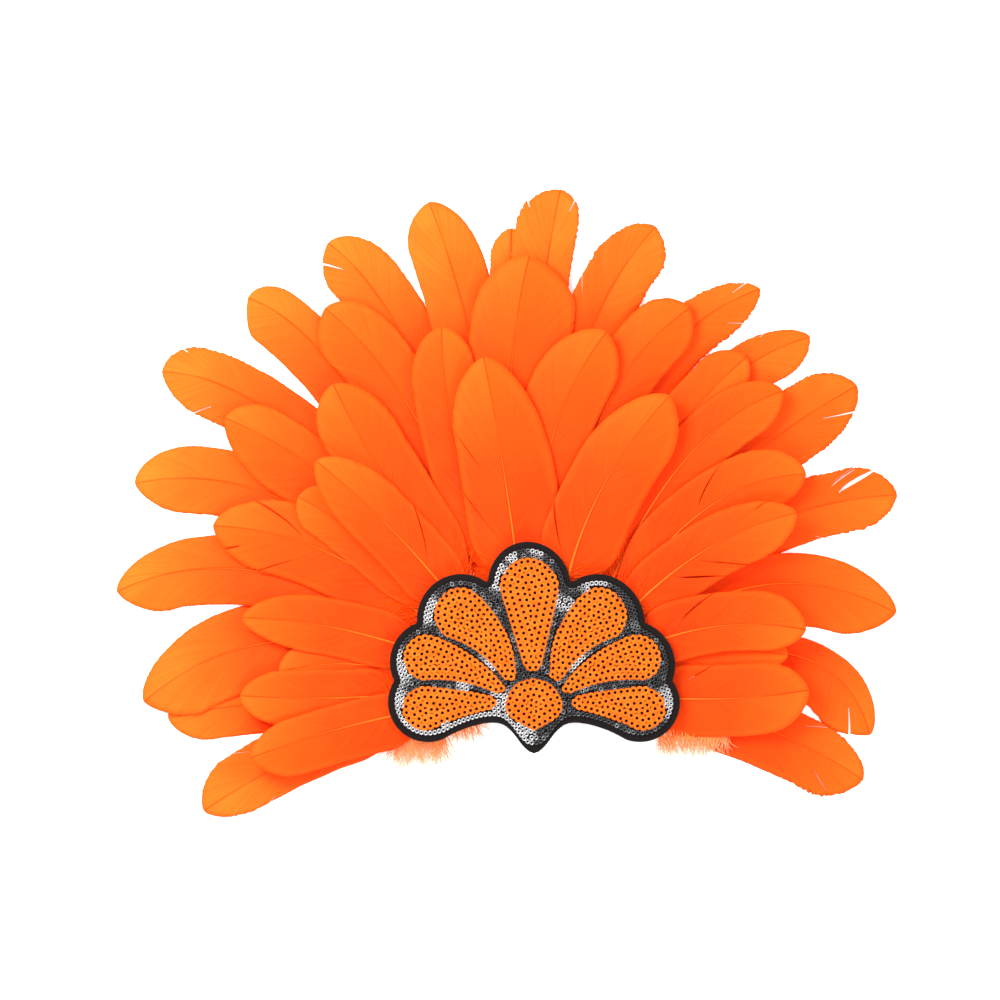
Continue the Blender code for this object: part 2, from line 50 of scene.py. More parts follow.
# The fan of feathers, as the solids have it
FAN_REACH = 0.250          # from the medallion to the tips of the highest feathers
FEATHER_WIDTH = 0.036      # a usual feather, across both vanes
VANE_THICKNESS = 0.0008    # of the solids
SHAFT_WIDTH = 0.0026       # the bare quill
SHAFT_HEIGHT = 0.0018
SHAFT_THINNING = 0.6       # how much of its height the shaft loses towards the tip
ROOTS = {"outer": 0.056, "second": 0.052, "third": 0.047, "front": 0.042}
VANE_START = 0.04
VANE_FULL = 0.34
VANE_RISE = 0.6
LONGEST_TIP = 0.5
SHORT_STEP = 0.01
BODY_STATIONS = (0.0, 0.12, 0.26, 0.42, 0.60, 0.80, 1.0)
TIP_ANGLES = (28, 52, 73, 90)
BLUNT_END = 0.16
TIP_POWER = 0.62           # the barbs' tips are a little more pointed than the solids' 0.5
ACROSS = (-1.0, -0.5, 0.0, 0.5, 1.0)
SAME_POINT = 0.00005       # how close two points in plan are one corner of a solid

# The barbs that are modelled on each vane
BARB_STEP = 0.0011         # between barbs, along the vane's edge
BARB_SWEEP = 1.6           # how far ahead of its root a barb ends, as a share of the half width
BARB_BEND = 1.3            # above 1 a barb leaves the shaft wide and bends to the tip
BARB_COLUMNS = (0.0, 0.06, 0.20, 0.36, 0.52, 0.66, 0.79, 0.90, 1.0)
SHEET_THICKNESS = 0.00022
RIPPLE = 0.00028           # how far the barbs' clumps rise and fall
EDGE_WAVE = 0.012          # waviness of a vane's edge, as a share of its half width
EDGE_RAGGED = 0.006        # and how much single barbs differ
FRAY_RAGGED = 0.060        # the same on a worn feather
CAMBER = 0.0004            # how far each vane arches between shaft and edge
EDGE_WAVE_LENGTH = 0.012
CLUMP_LENGTHS = (0.009, 0.004)
SPLIT_FADE = 5.0           # barbs over which the sides of a split settle back
SPLIT_LIFT = 0.00022       # of one side over the other
STRANDS_AT_ONCE = 40

# The loose downy barbs beside each quill, their reach as a share of the half width
DOWNY_BARBS = 110
DOWN_REACH = (0.35, 1.15)
DOWN_RADIUS = (0.00030, 0.00080)
DOWN_LIFT = 0.0007
DOWN_LOFT = 0.0006         # how much higher than that an end may lie

# Painted light on the vanes: how much paler each tier is painted towards its tips, for light let through a
# single layer, and how much more is painted on the vane turned to the light than on the other
TIP_PAINTED_LIGHT = {"outer": 0.80, "second": 0.18, "third": 0.10, "front": 0.16}
# Painted shade: the feathers to the right are painted with less light, as the key light comes from the
# left.
RIGHT_PAINTED_SHADE = 0.8          # how much of that a feather loses for each fan's reach to the right
LIT_VANE_PAINTED_LIGHT = 0.22

# The patch and the backing, as the solids have them
PATCH_HALF_WIDTH = 0.073
BACKING_THICKNESS = 0.002
FIBRE_STEP = 0.00045       # between loose fibres along a felt's edge
FIBRE_RADIUS = 0.00003
FIBRE_REACH = (0.0003, 0.0009)
FELT_ROUNDING = 0.28       # of its rims, as a share of its thickness
BACKING_INSET = 0.003
FELT_THICKNESS = 0.0025
FELT_EDGE = 0.0032         # the bare felt that shows round the sequins
SEQUIN_LAYER = 0.0012
SEAT_GAP = 0.0003

# Tip and middle of the shaft are shares of FAN_REACH from the medallion. The root heading is
# in degrees from +X, the width a share of FEATHER_WIDTH. "left" is the share of the width to
# the left of the shaft, seen from root to tip. "tip_left" and "tip_right" say over what length
# each vane narrows to the tip, as a share of the feather's width. "worn" is how frayed it is.
Feather = namedtuple("Feather", "tier tip_x tip_y mid_x mid_y root width left tip_left tip_right worn")
TIERS = {"outer": (
    (-0.732, -0.036, -0.500, -0.004, 183, 0.83, 0.50, 0.8, 1.0, 0.1),
    (-0.660, -0.222, -0.432, -0.096, 190, 0.86, 0.45, 0.8, 0.7, 0.3),
    (-0.780, -0.004, -0.524, 0.116, 162, 1.18, 0.52, 0.6, 1.5, 0.2),
    (-0.834, 0.216, -0.544, 0.256, 150, 0.96, 0.52, 0.8, 1.7, 0.1),
    (-0.798, 0.432, -0.492, 0.396, 139, 0.94, 0.52, 0.9, 1.0, 0.1),
    (-0.744, 0.656, -0.472, 0.536, 128, 0.94, 0.55, 1.2, 0.9, 0.4),
    (-0.572, 0.804, -0.364, 0.624, 118, 0.84, 0.60, 1.0, 1.0, 0.1),
    (-0.412, 0.914, -0.232, 0.670, 109, 0.95, 0.50, 0.9, 1.3, 0.2),
    (-0.210, 0.996, -0.104, 0.636, 101, 0.97, 0.52, 0.7, 1.1, 0.1),
    (-0.044, 0.944, -0.044, 0.600, 95, 0.58, 0.50, 0.8, 0.8, 0.4),
    (0.054, 1.022, 0.002, 0.640, 88, 0.86, 0.60, 0.7, 0.5, 0.6),
    (0.244, 0.946, 0.088, 0.656, 80, 0.92, 0.50, 1.1, 0.6, 0.6),
    (0.452, 0.822, 0.212, 0.618, 68, 0.77, 0.46, 1.7, 1.2, 0.7),
    (0.552, 0.726, 0.296, 0.550, 59, 0.72, 0.44, 1.5, 0.9, 0.3),
    (0.646, 0.628, 0.382, 0.440, 49, 1.00, 0.47, 0.7, 1.0, 0.4),
    (0.726, 0.410, 0.436, 0.336, 38, 0.88, 0.50, 0.7, 0.7, 0.6),
    (0.724, 0.174, 0.462, 0.230, 28, 1.02, 0.42, 1.3, 0.7, 0.1),
    (0.672, -0.070, 0.526, 0.088, 15, 0.84, 0.32, 1.2, 0.6, 0.2),
    (0.658, -0.160, 0.462, -0.056, 4, 0.94, 0.42, 1.0, 0.7, 0.6),
), "second": (
    (0.426, 0.686, 0.242, 0.476, 63, 0.80, 0.50, 0.7, 0.9, 0.2),
    (-0.618, 0.564, -0.378, 0.414, 132, 1.00, 0.60, 1.3, 0.7, 0.1),
    (-0.418, 0.784, -0.228, 0.550, 114, 1.00, 0.52, 0.7, 0.9, 0.1),
    (-0.008, 0.888, -0.048, 0.580, 94, 1.43, 0.44, 0.8, 0.6, 0.1),
    (0.312, 0.784, 0.132, 0.560, 74, 0.90, 0.50, 0.7, 0.7, 0.2),
    (0.498, 0.618, 0.292, 0.468, 53, 0.80, 0.48, 1.3, 0.9, 0.2),
    (-0.642, 0.348, -0.398, 0.288, 145, 1.04, 0.53, 0.8, 1.1, 0.3),
    (-0.472, 0.406, -0.332, 0.310, 138, 0.72, 0.50, 0.8, 0.8, 0.1),
    (-0.510, 0.054, -0.368, 0.072, 168, 0.64, 0.50, 0.8, 0.8, 0.1),
    (-0.588, 0.008, -0.398, 0.004, 176, 0.79, 0.50, 0.8, 0.9, 0.2),
), "third": (
    (0.508, 0.090, 0.344, 0.096, 20, 0.64, 0.50, 0.8, 0.8, 0.1),
    (-0.184, 0.746, -0.152, 0.500, 105, 0.88, 0.52, 1.1, 0.8, 0.1),
    (0.146, 0.736, 0.028, 0.492, 85, 1.08, 0.52, 0.9, 0.6, 0.1),
    (-0.402, 0.632, -0.276, 0.404, 123, 1.04, 0.47, 0.7, 1.0, 0.1),
    (0.544, 0.452, 0.328, 0.370, 44, 0.86, 0.52, 1.0, 0.7, 0.2),
    (-0.584, 0.164, -0.378, 0.140, 157, 0.80, 0.50, 1.3, 1.3, 0.1),
), "front": (
    (-0.100, 0.686, -0.056, 0.430, 97, 1.32, 0.46, 0.8, 1.5, 0.1),
    (0.272, 0.608, 0.124, 0.400, 72, 1.12, 0.47, 1.1, 0.7, 0.1),
    (-0.436, 0.478, -0.264, 0.320, 130, 0.90, 0.50, 1.2, 1.2, 0.2),
    (0.526, 0.374, 0.318, 0.284, 40, 0.86, 0.46, 1.4, 0.9, 0.3),
    (0.544, 0.140, 0.344, 0.144, 26, 0.83, 0.56, 0.8, 0.7, 0.1),
    (0.550, 0.020, 0.360, 0.002, 5, 1.00, 0.47, 0.6, 0.7, 0.1),
    (-0.566, -0.116, -0.368, -0.052, 184, 0.80, 0.58, 0.8, 0.8, 0.1),
)}

# Places where a vane has come apart. "at" is where the split meets the edge, as a share of the
# feather's length, "depth" how far it runs in to the shaft, as a share of the vane, and "gap"
# how wide it stands open, in metres: at the edge, or halfway in where the barbs' ends still meet.
Split = namedtuple("Split", "feather side at depth gap ends_meet")
SPLITS = [Split(*row) for row in (
    ("outer_08", "left", 0.96, 0.55, 0.0020, False),
    ("outer_11", "left", 0.80, 0.75, 0.0028, False),
    ("outer_15", "right", 0.95, 0.62, 0.0012, False),
    ("outer_16", "left", 0.93, 0.70, 0.0040, True),
    ("outer_16", "left", 0.88, 0.50, 0.0016, True),
    ("outer_18", "right", 0.97, 0.50, 0.0004, False),
    ("outer_19", "right", 0.90, 0.60, 0.0006, True),
    ("second_07", "right", 0.84, 0.90, 0.0014, False),
    ("second_07", "left", 0.78, 0.60, 0.0008, False),
    ("third_05", "left", 0.68, 0.80, 0.0012, True),
    ("front_01", "left", 0.50, 0.85, 0.0010, False),
    ("front_01", "left", 0.74, 0.55, 0.0008, True),
    ("front_02", "left", 0.42, 0.92, 0.0022, False),
    ("front_03", "right", 0.56, 0.88, 0.0014, False),
    ("front_04", "right", 0.70, 0.80, 0.0016, False),
    ("front_04", "right", 0.58, 0.80, 0.0018, True),
    ("front_05", "left", 0.56, 0.70, 0.0014, True),
    ("front_06", "left", 0.50, 0.60, 0.0008, True),
)]

# The patch's outline, as shares of PATCH_HALF_WIDTH: its scallops are circles, from the top
# down its right side, and its lower edge is a smooth line in to the point below the medallion.
Scallop = namedtuple("Scallop", "x y radius")
SCALLOPS = (
    Scallop(0.0, 0.790, 0.294),
    Scallop(0.486, 0.548, 0.315),
    Scallop(0.705, 0.260, 0.284),
    Scallop(0.726, -0.014, 0.274),
)
LOWER_EDGE = ((0.632, -0.272), (0.507, -0.209), (0.36, -0.164), (0.240, -0.160),
              (0.160, -0.208), (0.078, -0.312), (0.034, -0.353))
LOWER_POINT = (0.0, -0.366)
LEAN = 0.08                # how far the upper lobes lean left, the right-hand ones most
NOTCH_RADIUS = 0.0012
POINT_DRAW = 1.2
SCALLOP_STEP = math.radians(5)
NOTCH_STEPS = 5

# Each sequin petal is a drop with a round head and a small foot, also as shares of
# PATCH_HALF_WIDTH. The swells say how far its sides bulge over straight ones.
Petal = namedtuple("Petal", "name head_x head_y head_radius foot_x foot_y foot_radius upper lower")
PETALS = (
    Petal("petal_top", 0.0, 0.766, 0.207, 0.0, 0.262, 0.068, 0.0, 0.0),
    Petal("petal_upper", 0.492, 0.585, 0.184, 0.168, 0.186, 0.055, 0.056, -0.045),
    Petal("petal_middle", 0.735, 0.290, 0.157, 0.240, 0.084, 0.042, 0.035, -0.035),
    Petal("petal_lower", 0.750, -0.058, 0.150, 0.300, -0.018, 0.044, 0.010, -0.014),
)
MEDALLION = ((0.0, 0.151), (0.115, 0.115), (0.184, 0.020), (0.190, -0.075), (0.100, -0.158))
MEDALLION_POINT = (0.0, -0.212)
MEDALLION_MIDDLE = -0.03
MEDALLION_DEPTH = 0.012    # in metres, from its edge to the innermost row
CORE = 0.0004              # at the middle of a petal's head, where no row fits
HEAD_STEPS = 24
SWELL_TURN = 7.0           # radians by which the head's arc ends early, for a swell of 1
FOOT_STEPS = 6
CURVE_STEPS = 8

# The sequins
FLAT_RADIUS = 0.0021
FLAT_HOLE = 0.00076
FLAT_ROW = 0.0034          # from row to row
CUP_RADIUS = 0.00128
CUP_HOLE = 0.00054
CUP_ROW = 0.00225
ROW_LIFT = 0.0002          # every second row lies this much higher, over its neighbours
SINK = 0.0001              # of them all into the middle of their layer
HALF_DISC = 0.00006        # half of a flat one's thickness
FLAT_PROFILE = ((FLAT_HOLE, -HALF_DISC), (FLAT_HOLE + 0.00022, 1.8 * HALF_DISC),
                (FLAT_RADIUS - 0.0001, HALF_DISC), (FLAT_RADIUS, -HALF_DISC))
CUP_PROFILE = ((CUP_HOLE, -0.00004), (CUP_HOLE + 0.00003, 0.00006), (0.00088, 0.00009),
               (CUP_RADIUS, 0.00030), (0.00090, -0.00005))

# "pitch" is along a row; "shift" sets every second row on, "closest" is how near two may lie and
# "hole" from what distance a gap is filled, all in pitches. "search" is the grid step that finds
# the gaps, "turn" and "tilt" are in radians, and a sequin leans by "least" to "most" of its tilt.
Sewing = namedtuple("Sewing", "slot pitch shift closest hole search turn tilt least most")
FLATS = Sewing("orange_sequin", 0.0031, 0.5, 0.80, 0.74, 0.0004, 0.2, math.radians(6), 0.6, 1.3)
CUPS = Sewing("gunmetal_sequin", 0.00225, 0.0, 0.84, 0.82, 0.0005, 0.1, math.radians(9), 0.8, 1.2)

# Runs of the border whose cups get a painted reflection, silver as if they mirrored the light, as shares
# of PATCH_HALF_WIDTH
Run = namedtuple("Run", "x y radius")
PAINTED_REFLECTION_RUNS = [Run(*row) for row in (
    (-0.96, 0.22, 0.17), (-0.95, -0.06, 0.17), (-0.84, -0.20, 0.15), (-0.66, -0.24, 0.15),
    (-0.50, -0.17, 0.13), (-0.34, -0.12, 0.12), (-0.23, -0.03, 0.12), (-0.16, -0.16, 0.10),
    (-0.07, -0.25, 0.10), (-0.75, 0.62, 0.13), (-0.24, 0.84, 0.12), (0.93, -0.02, 0.14),
    (0.42, 0.79, 0.11), (0.21, 0.66, 0.07), (0.29, 0.27, 0.10), (-0.30, 0.25, 0.07),
    (-0.48, 0.10, 0.06), (0.02, 1.03, 0.06), (-0.16, 0.98, 0.06),
)]


def smoothstep(value):
    value = np.clip(value, 0.0, 1.0)
    return value * value * (3.0 - 2.0 * value)


# The look of each finish

class Look:
    """One finish: a material whose nodes are added one by one before its Principled shader."""

    def __init__(self, name):
        self.surface = bpy.data.materials.new(name)
        self.surface.use_nodes = True
        self.tree = self.surface.node_tree

    def feed(self, node, inputs):
        """Set inputs of a node, each from another node's output, a colour or a number."""
        for name, source in inputs.items():
            socket = node.inputs[name]
            if isinstance(source, bpy.types.NodeSocket):
                self.tree.links.new(source, socket)
            elif socket.type == "RGBA":
                socket.default_value = (*source, 1.0)
            else:
                socket.default_value = source

    def add(self, kind, inputs, **settings):
        """Add a node and hand over its outputs."""
        node = self.tree.nodes.new(f"ShaderNode{kind}")
        for name, value in settings.items():
            setattr(node, name, value)
        self.feed(node, inputs)
        return node.outputs

    def attribute(self, name):
        return self.add("Attribute", {}, attribute_name=name)

    def place(self):
        """Where a point lies on its feather: along it, across the vane, and how much light is painted on
        the vane.
        """
        return tuple(self.add("SeparateXYZ", {"Vector": self.attribute("place")["Vector"]}))

    def where(self):
        return self.add("TexCoord", {})["Object"]

    def noise(self, vector, scale, detail=2.0, roughness=0.5):
        inputs = {"Vector": vector, "Scale": scale, "Detail": detail, "Roughness": roughness}
        return self.add("TexNoise", inputs)["Fac"]

    def ramp(self, factor, stops):
        """A colour ramp with the given (place, colour) stops."""
        node = self.tree.nodes.new("ShaderNodeValToRGB")
        elements = node.color_ramp.elements
        while len(elements) < len(stops):
            elements.new(0.5)
        for element, (place, colour) in zip(elements, stops):
            element.position = place
            element.color = (*colour, 1.0)
        self.feed(node, {"Fac": factor})
        return node.outputs["Color"]

    def remap(self, value, low, high, to_low, to_high):
        inputs = {"Value": value, "From Min": low, "From Max": high, "To Min": to_low, "To Max": to_high}
        return self.add("MapRange", inputs)["Result"]

    def mix(self, factor, first, second):
        return self.add("Mix", {"Factor": factor, "A": first, "B": second}, data_type="RGBA")["Result"]

    def tinge(self, base, value, low, high, most, colour):
        """Mix a colour in, up to the most, as the value goes from low to high."""
        return self.mix(self.remap(value, low, high, 0.0, most), base, colour)

    def bump(self, height, strength, distance, under=None):
        inputs = {"Height": height, "Strength": strength, "Distance": distance}
        if under is not None:
            inputs["Normal"] = under
        return self.add("Bump", inputs)["Normal"]

    def shade(self, tone, roughness, specular, inputs):
        """Feed the Principled shader and hand over the finished material."""
        usual = {"Base Color": tone, "Roughness": roughness, "Specular IOR Level": specular}
        self.feed(self.tree.nodes["Principled BSDF"], usual | inputs)
        return self.surface


def feather_look():
    """Dyed goose vane: fine barbs along their own run and soft satin. It is deeper orange to the quill,
    partly the dye and partly painted shade where the layers overlap; painted light makes its tips and
    edges paler, and painted shade darkens it beside the shaft.
    """
    look = Look("dyed_vane")
    barb = look.attribute("barb")["Vector"]
    fine_run = look.add("Mapping", {"Vector": barb, "Scale": (2600.0, 55.0, 1.0)})["Vector"]
    clump_run = look.add("Mapping", {"Vector": barb, "Scale": (420.0, 22.0, 1.0)})["Vector"]
    fine = look.noise(fine_run, 1.0, 3.0, 0.6)
    clump = look.noise(clump_run, 1.0)
    broad = look.noise(look.where(), 38.0)
    along, across, painted_light = look.place()
    from_shaft = look.add("SeparateXYZ", {"Vector": barb})["Y"]
    # Deeper orange to the quill: partly the dye, partly painted shade of the overlapping layers there.
    body = look.ramp(along, (
        (0.08, (0.92, 0.014, 0.0005)),
        (0.40, (0.98, 0.028, 0.0008)),
        (0.75, (1.00, 0.054, 0.0014)),
        (1.00, (1.00, 0.096, 0.0034)),
    ))
    # Painted light: the vane is painted paler to its tips, by the amount stored for it in the place
    # attribute.
    to_tip = look.remap(along, 0.58, 1.0, 0.12, 1.0)
    painted_lightness = look.add("Math", {0: painted_light, 1: to_tip}, operation="MULTIPLY")["Value"]
    body = look.mix(painted_lightness, body, (1.0, 0.225, 0.018))
    body = look.tinge(body, broad, 0.35, 0.70, 0.35, (1.0, 0.080, 0.0026))
    body = look.tinge(body, clump, 0.30, 0.70, 0.27, (0.97, 0.048, 0.0012))
    body = look.tinge(body, fine, 0.35, 0.65, 0.25, (1.0, 0.125, 0.0080))
    # Painted light: paler along the vane's outer edge.
    body = look.tinge(body, across, 0.80, 1.00, 0.25, (1.0, 0.145, 0.010))
    # Painted shade: darker right beside the shaft, where the vane meets it.
    shaft_painted_shade = look.remap(from_shaft, 0.0, 0.0009, 0.38, 0.0)
    return look.shade(look.mix(shaft_painted_shade, body, (0.92, 0.036, 0.0010)), 0.62, 0.07, {
        "Sheen Weight": 0.03,
        "Sheen Roughness": 0.5,
        "Sheen Tint": (1.0, 0.40, 0.12),
        "Normal": look.bump(fine, 0.30, 0.00012, look.bump(clump, 0.35, 0.0004)),
    })


def shaft_look():
    """The quill: horny, lightly dyed, paler than the vanes and paler still at its bare end."""
    look = Look("dyed_shaft")
    tone = look.ramp(look.place()[0], (
        (0.0, (1.0, 0.19, 0.016)),
        (0.40, (1.0, 0.16, 0.010)),
        (0.62, (1.0, 0.105, 0.004)),
        (0.82, (1.0, 0.080, 0.003)),
    ))
    streak = look.noise(look.where(), 900.0, 3.0)
    tone = look.tinge(tone, streak, 0.35, 0.7, 0.3, (0.98, 0.085, 0.004))
    return look.shade(tone, 0.50, 0.10, {"Normal": look.bump(streak, 0.2, 0.0001)})


def down_look():
    """Loose down: deep orange at the quills, pale at its ends. Its faint emission is painted light, for
    the light let through, and lifts its shade.
    """
    look = Look("dyed_down")
    tone = look.ramp(look.place()[0], (
        (0.00, (1.00, 0.058, 0.002)),
        (0.40, (1.00, 0.090, 0.004)),
        (0.50, (1.00, 0.250, 0.040)),
        (1.00, (0.95, 0.480, 0.260)),
    ))
    # Painted light: a faint emission in the down's own tone.
    return look.shade(tone, 0.75, 0.05, {"Emission Color": tone, "Emission Strength": 0.16})


def felt_look():
    """Pressed charcoal felt: matted fibres in two sizes, with a dusty sheen."""
    look = Look("charcoal_felt_pressed")
    where = look.where()
    fibres = look.noise(where, 2600.0, 4.0, 0.7)
    tufts = look.noise(where, 420.0, 3.0)
    tone = look.ramp(fibres, (
        (0.30, (0.0060, 0.0046, 0.0044)),
        (0.55, (0.0125, 0.0096, 0.0092)),
        (0.75, (0.0320, 0.0250, 0.0240)),
    ))
    return look.shade(look.tinge(tone, tufts, 0.4, 0.7, 0.5, (0.0130, 0.0100, 0.0096)), 0.95, 0.06, {
        "Sheen Weight": 0.02,
        "Sheen Roughness": 0.6,
        "Normal": look.bump(fibres, 0.8, 0.00015, look.bump(tufts, 0.5, 0.0004)),
    })


def flat_sequin_look():
    """Matte orange sequin: opaque film with faint scuffs and a slight tone from disc to disc."""
    look = Look("orange_sequin_film")
    scuffs = look.noise(look.where(), 1500.0, 4.0, 0.7)
    # Only a random tone from disc to disc for these sequins, no painted light.
    tone = look.mix(look.attribute("tint")["Fac"], (0.95, 0.140, 0.005), (1.0, 0.185, 0.010))
    tone = look.tinge(tone, scuffs, 0.52, 0.8, 0.3, (1.0, 0.22, 0.05))
    roughness = look.remap(scuffs, 0.3, 0.7, 0.42, 0.60)
    return look.shade(tone, roughness, 0.10, {"Normal": look.bump(scuffs, 0.12, 0.00008)})


def cup_sequin_look():
    """Gunmetal sequin: thin metal film with fine rub marks, dark except where a painted reflection turns a
    disc silver.
    """
    look = Look("gunmetal_sequin_film")
    rubs = look.noise(look.where(), 1800.0, 3.0, 0.6)
    # Painted reflection: the tone goes from dark gunmetal to silver by the reflection painted on each cup.
    tone = look.mix(look.attribute("tint")["Fac"], (0.036, 0.035, 0.038), (0.55, 0.54, 0.55))
    roughness = look.remap(rubs, 0.3, 0.7, 0.20, 0.36)
    return look.shade(tone, roughness, 0.5, {"Metallic": 0.65, "Normal": look.bump(rubs, 0.10, 0.00006)})


def floor_look():
    look = Look("white_paper")
    grain = look.noise(look.where(), 900.0, 3.0)
    tone = look.ramp(grain, ((0.0, (0.93, 0.93, 0.93)), (1.0, (0.96, 0.96, 0.96))))
    return look.shade(tone, 0.9, 0.1, {"Emission Color": (1.0, 1.0, 1.0), "Emission Strength": 0.45})


# Building pieces

def mesh_from(bm, name):
    """Turn a bmesh into a mesh, and free it."""
    mesh = bpy.data.meshes.new(name)
    bm.to_mesh(mesh)
    bm.free()
    return mesh


def add_object(name, data):
    made = bpy.data.objects.new(name, data)
    bpy.context.scene.collection.objects.link(made)
    return made


def add_piece(name, bm, surfaces, slot, nodes=()):
    """Turn a bmesh into a smooth piece that rides on the headdress and stands for CAD nodes."""
    mesh = mesh_from(bm, name)
    for surface in surfaces:
        mesh.materials.append(surface)
    mesh.shade_smooth()
    piece = add_object(name, mesh)
    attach(piece, "root")
    if nodes:
        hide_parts(*nodes)
    return piece


def add_tube(bm, centres, radii, sides, surface, flatten, shares, places):
    """A tube: a grid rolled round a line of points. An end without radius closes in a point."""
    rows, columns = len(centres), sides + 1
    grid = bmesh.ops.create_grid(bm, x_segments=sides, y_segments=rows - 1, size=1.0)["verts"]
    ahead = np.gradient(np.asarray(centres), axis=0)
    for index, vert in enumerate(grid):
        row, column = divmod(index, columns)
        tangent = Vector(ahead[row]).normalized()
        side = tangent.cross(Vector((0.0, 0.0, 1.0)))
        side = side.normalized() if side.length > 1e-6 else Vector((1.0, 0.0, 0.0))
        angle = 2.0 * math.pi * column / sides
        offset = side * math.cos(angle) + side.cross(tangent) * math.sin(angle) * flatten
        vert.co = Vector(centres[row]) + offset * radii[row]
        vert[places] = (shares[row], row / (rows - 1), 0.0)
    faces = {face for vert in grid for face in vert.link_faces}
    for face in faces:
        face.material_index = surface
    bmesh.ops.remove_doubles(bm, verts=grid, dist=1e-7)


def add_strands(bm, strands, surface, flatten=1.0):
    """Thin strands, each given as (centres, radii, shares), built a few at a time for speed."""
    for first in range(0, len(strands), STRANDS_AT_ONCE):
        few = bmesh.new()
        places = few.verts.layers.float_vector.new("place")
        for centres, radii, shares in strands[first:first + STRANDS_AT_ONCE]:
            add_tube(few, centres, radii, 3, surface, flatten, shares, places)
        mesh = mesh_from(few, "strands")
        bm.from_mesh(mesh)
        bpy.data.meshes.remove(mesh)


def root_point(feather):
    heading = math.radians(feather.root)
    return np.array((math.cos(heading), math.sin(heading))) * ROOTS[feather.tier]


def tip_point(feather):
    return np.array((feather.tip_x, feather.tip_y)) * FAN_REACH


def shaft_points(feather, shares):
    """Points of the shaft in plan, on the parabola through its root, middle and tip."""
    shares = np.asarray(shares)[..., None]
    middle = np.array((feather.mid_x, feather.mid_y)) * FAN_REACH
    from_root = (1.0 - shares) * (1.0 - 2.0 * shares)
    from_middle = 4.0 * shares * (1.0 - shares)
    from_tip = shares * (2.0 * shares - 1.0)
    return root_point(feather) * from_root + middle * from_middle + tip_point(feather) * from_tip


def left_of_shaft(feather, shares):
    ahead = shaft_points(feather, shares + SHORT_STEP) - shaft_points(feather, shares - SHORT_STEP)
    ahead /= np.linalg.norm(ahead, axis=-1, keepdims=True)
    return np.stack((-ahead[..., 1], ahead[..., 0]), axis=-1)


def feather_length(feather):
    return float(np.linalg.norm(tip_point(feather) - root_point(feather)))


def tip_start(feather, side):
    taper = feather.tip_left if side > 0 else feather.tip_right
    return 1.0 - min(taper * feather.width * FEATHER_WIDTH / feather_length(feather), LONGEST_TIP)


def half_width(feather, side, shares, blunt, power=0.5):
    """Width of one vane at shares of the length, down to the blunt share at the very tip."""
    start = tip_start(feather, side)
    part = feather.left if side > 0 else 1.0 - feather.left
    rise = smoothstep((shares - VANE_START) / (VANE_FULL - VANE_START)) ** VANE_RISE
    into_tip = np.clip((shares - start) / (1.0 - start), 0.0, 1.0)
    taper = np.maximum((1.0 - into_tip ** 2) ** power, blunt)
    return feather.width * FEATHER_WIDTH * part * rise * taper


def corners_of(node):
    return np.array([vert.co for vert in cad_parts[node].data.vertices])


class Lie:
    """How a feather lies: the heights of its solid's underside, smooth between its sections."""

    def __init__(self, feather, node):
        self.feather = feather
        start = min(tip_start(feather, 1), tip_start(feather, -1))
        self.along = np.array(
            [share * start for share in BODY_STATIONS]
            + [start + (1.0 - start) * math.sin(math.radians(angle)) for angle in TIP_ANGLES])
        corners = corners_of(node)
        shaft = shaft_points(feather, self.along)
        to_left = left_of_shaft(feather, self.along)
        self.under = np.zeros((len(self.along), len(ACROSS)))
        for column, across in enumerate(ACROSS):
            reach = self.reach(self.along, 1 if across > 0 else -1)
            points = shaft + to_left * (across * reach)[:, None]
            for row, point in enumerate(points):
                away = np.hypot(corners[:, 0] - point[0], corners[:, 1] - point[1])
                self.under[row, column] = corners[away < away.min() + SAME_POINT, 2].min()
        self.rise = np.gradient(self.under, self.along, axis=0)

    def reach(self, shares, side):
        return np.maximum(half_width(self.feather, side, shares, BLUNT_END), 0.5 * SHAFT_WIDTH)

    def under_at(self, shares, offsets):
        """Height of the underside at shares of the length and distances left of the shaft."""
        shares = np.clip(shares, 0.0, 1.0)
        row = np.clip(np.searchsorted(self.along, shares) - 1, 0, len(self.along) - 2)
        step = (self.along[row + 1] - self.along[row])[..., None]
        into = ((shares - self.along[row])[..., None]) / step
        columns = (
            self.under[row] * (1.0 + 2.0 * into) * (1.0 - into) ** 2
            + self.under[row + 1] * into ** 2 * (3.0 - 2.0 * into)
            + self.rise[row] * step * into * (1.0 - into) ** 2
            + self.rise[row + 1] * step * into ** 2 * (into - 1.0))
        left = offsets > 0.0
        reach = np.where(left, self.reach(shares, 1), self.reach(shares, -1))
        out = np.clip(np.abs(offsets) / reach, 0.0, 1.0)
        half = np.where(left, columns[..., 3], columns[..., 1])
        edge = np.where(left, columns[..., 4], columns[..., 0])
        return (columns[..., 2] * (1.0 - out) * (1.0 - 2.0 * out)
                + half * 4.0 * out * (1.0 - out) + edge * out * (2.0 * out - 1.0))

    def points(self, shares, offsets, lift):
        """Places at shares of the length and distances left of the shaft, lifted off the underside."""
        away = left_of_shaft(self.feather, shares) * offsets[..., None]
        height = self.under_at(shares, offsets) + lift
        return np.concatenate((shaft_points(self.feather, shares) + away, height[..., None]), axis=-1)


def wander(barbs, reach):
    """A smooth random line along a vane, one value for each barb, which turns about once in a reach."""
    knots = max(4, int(barbs * BARB_STEP / reach) + 3)
    values = [chance.uniform(-1.0, 1.0) for _ in range(knots)]
    at = np.linspace(0.0, knots - 1.001, barbs)
    low = at.astype(int)
    blend = smoothstep(at - low)
    values = np.array(values + [0.0])
    return values[low] * (1.0 - blend) + values[low + 1] * blend


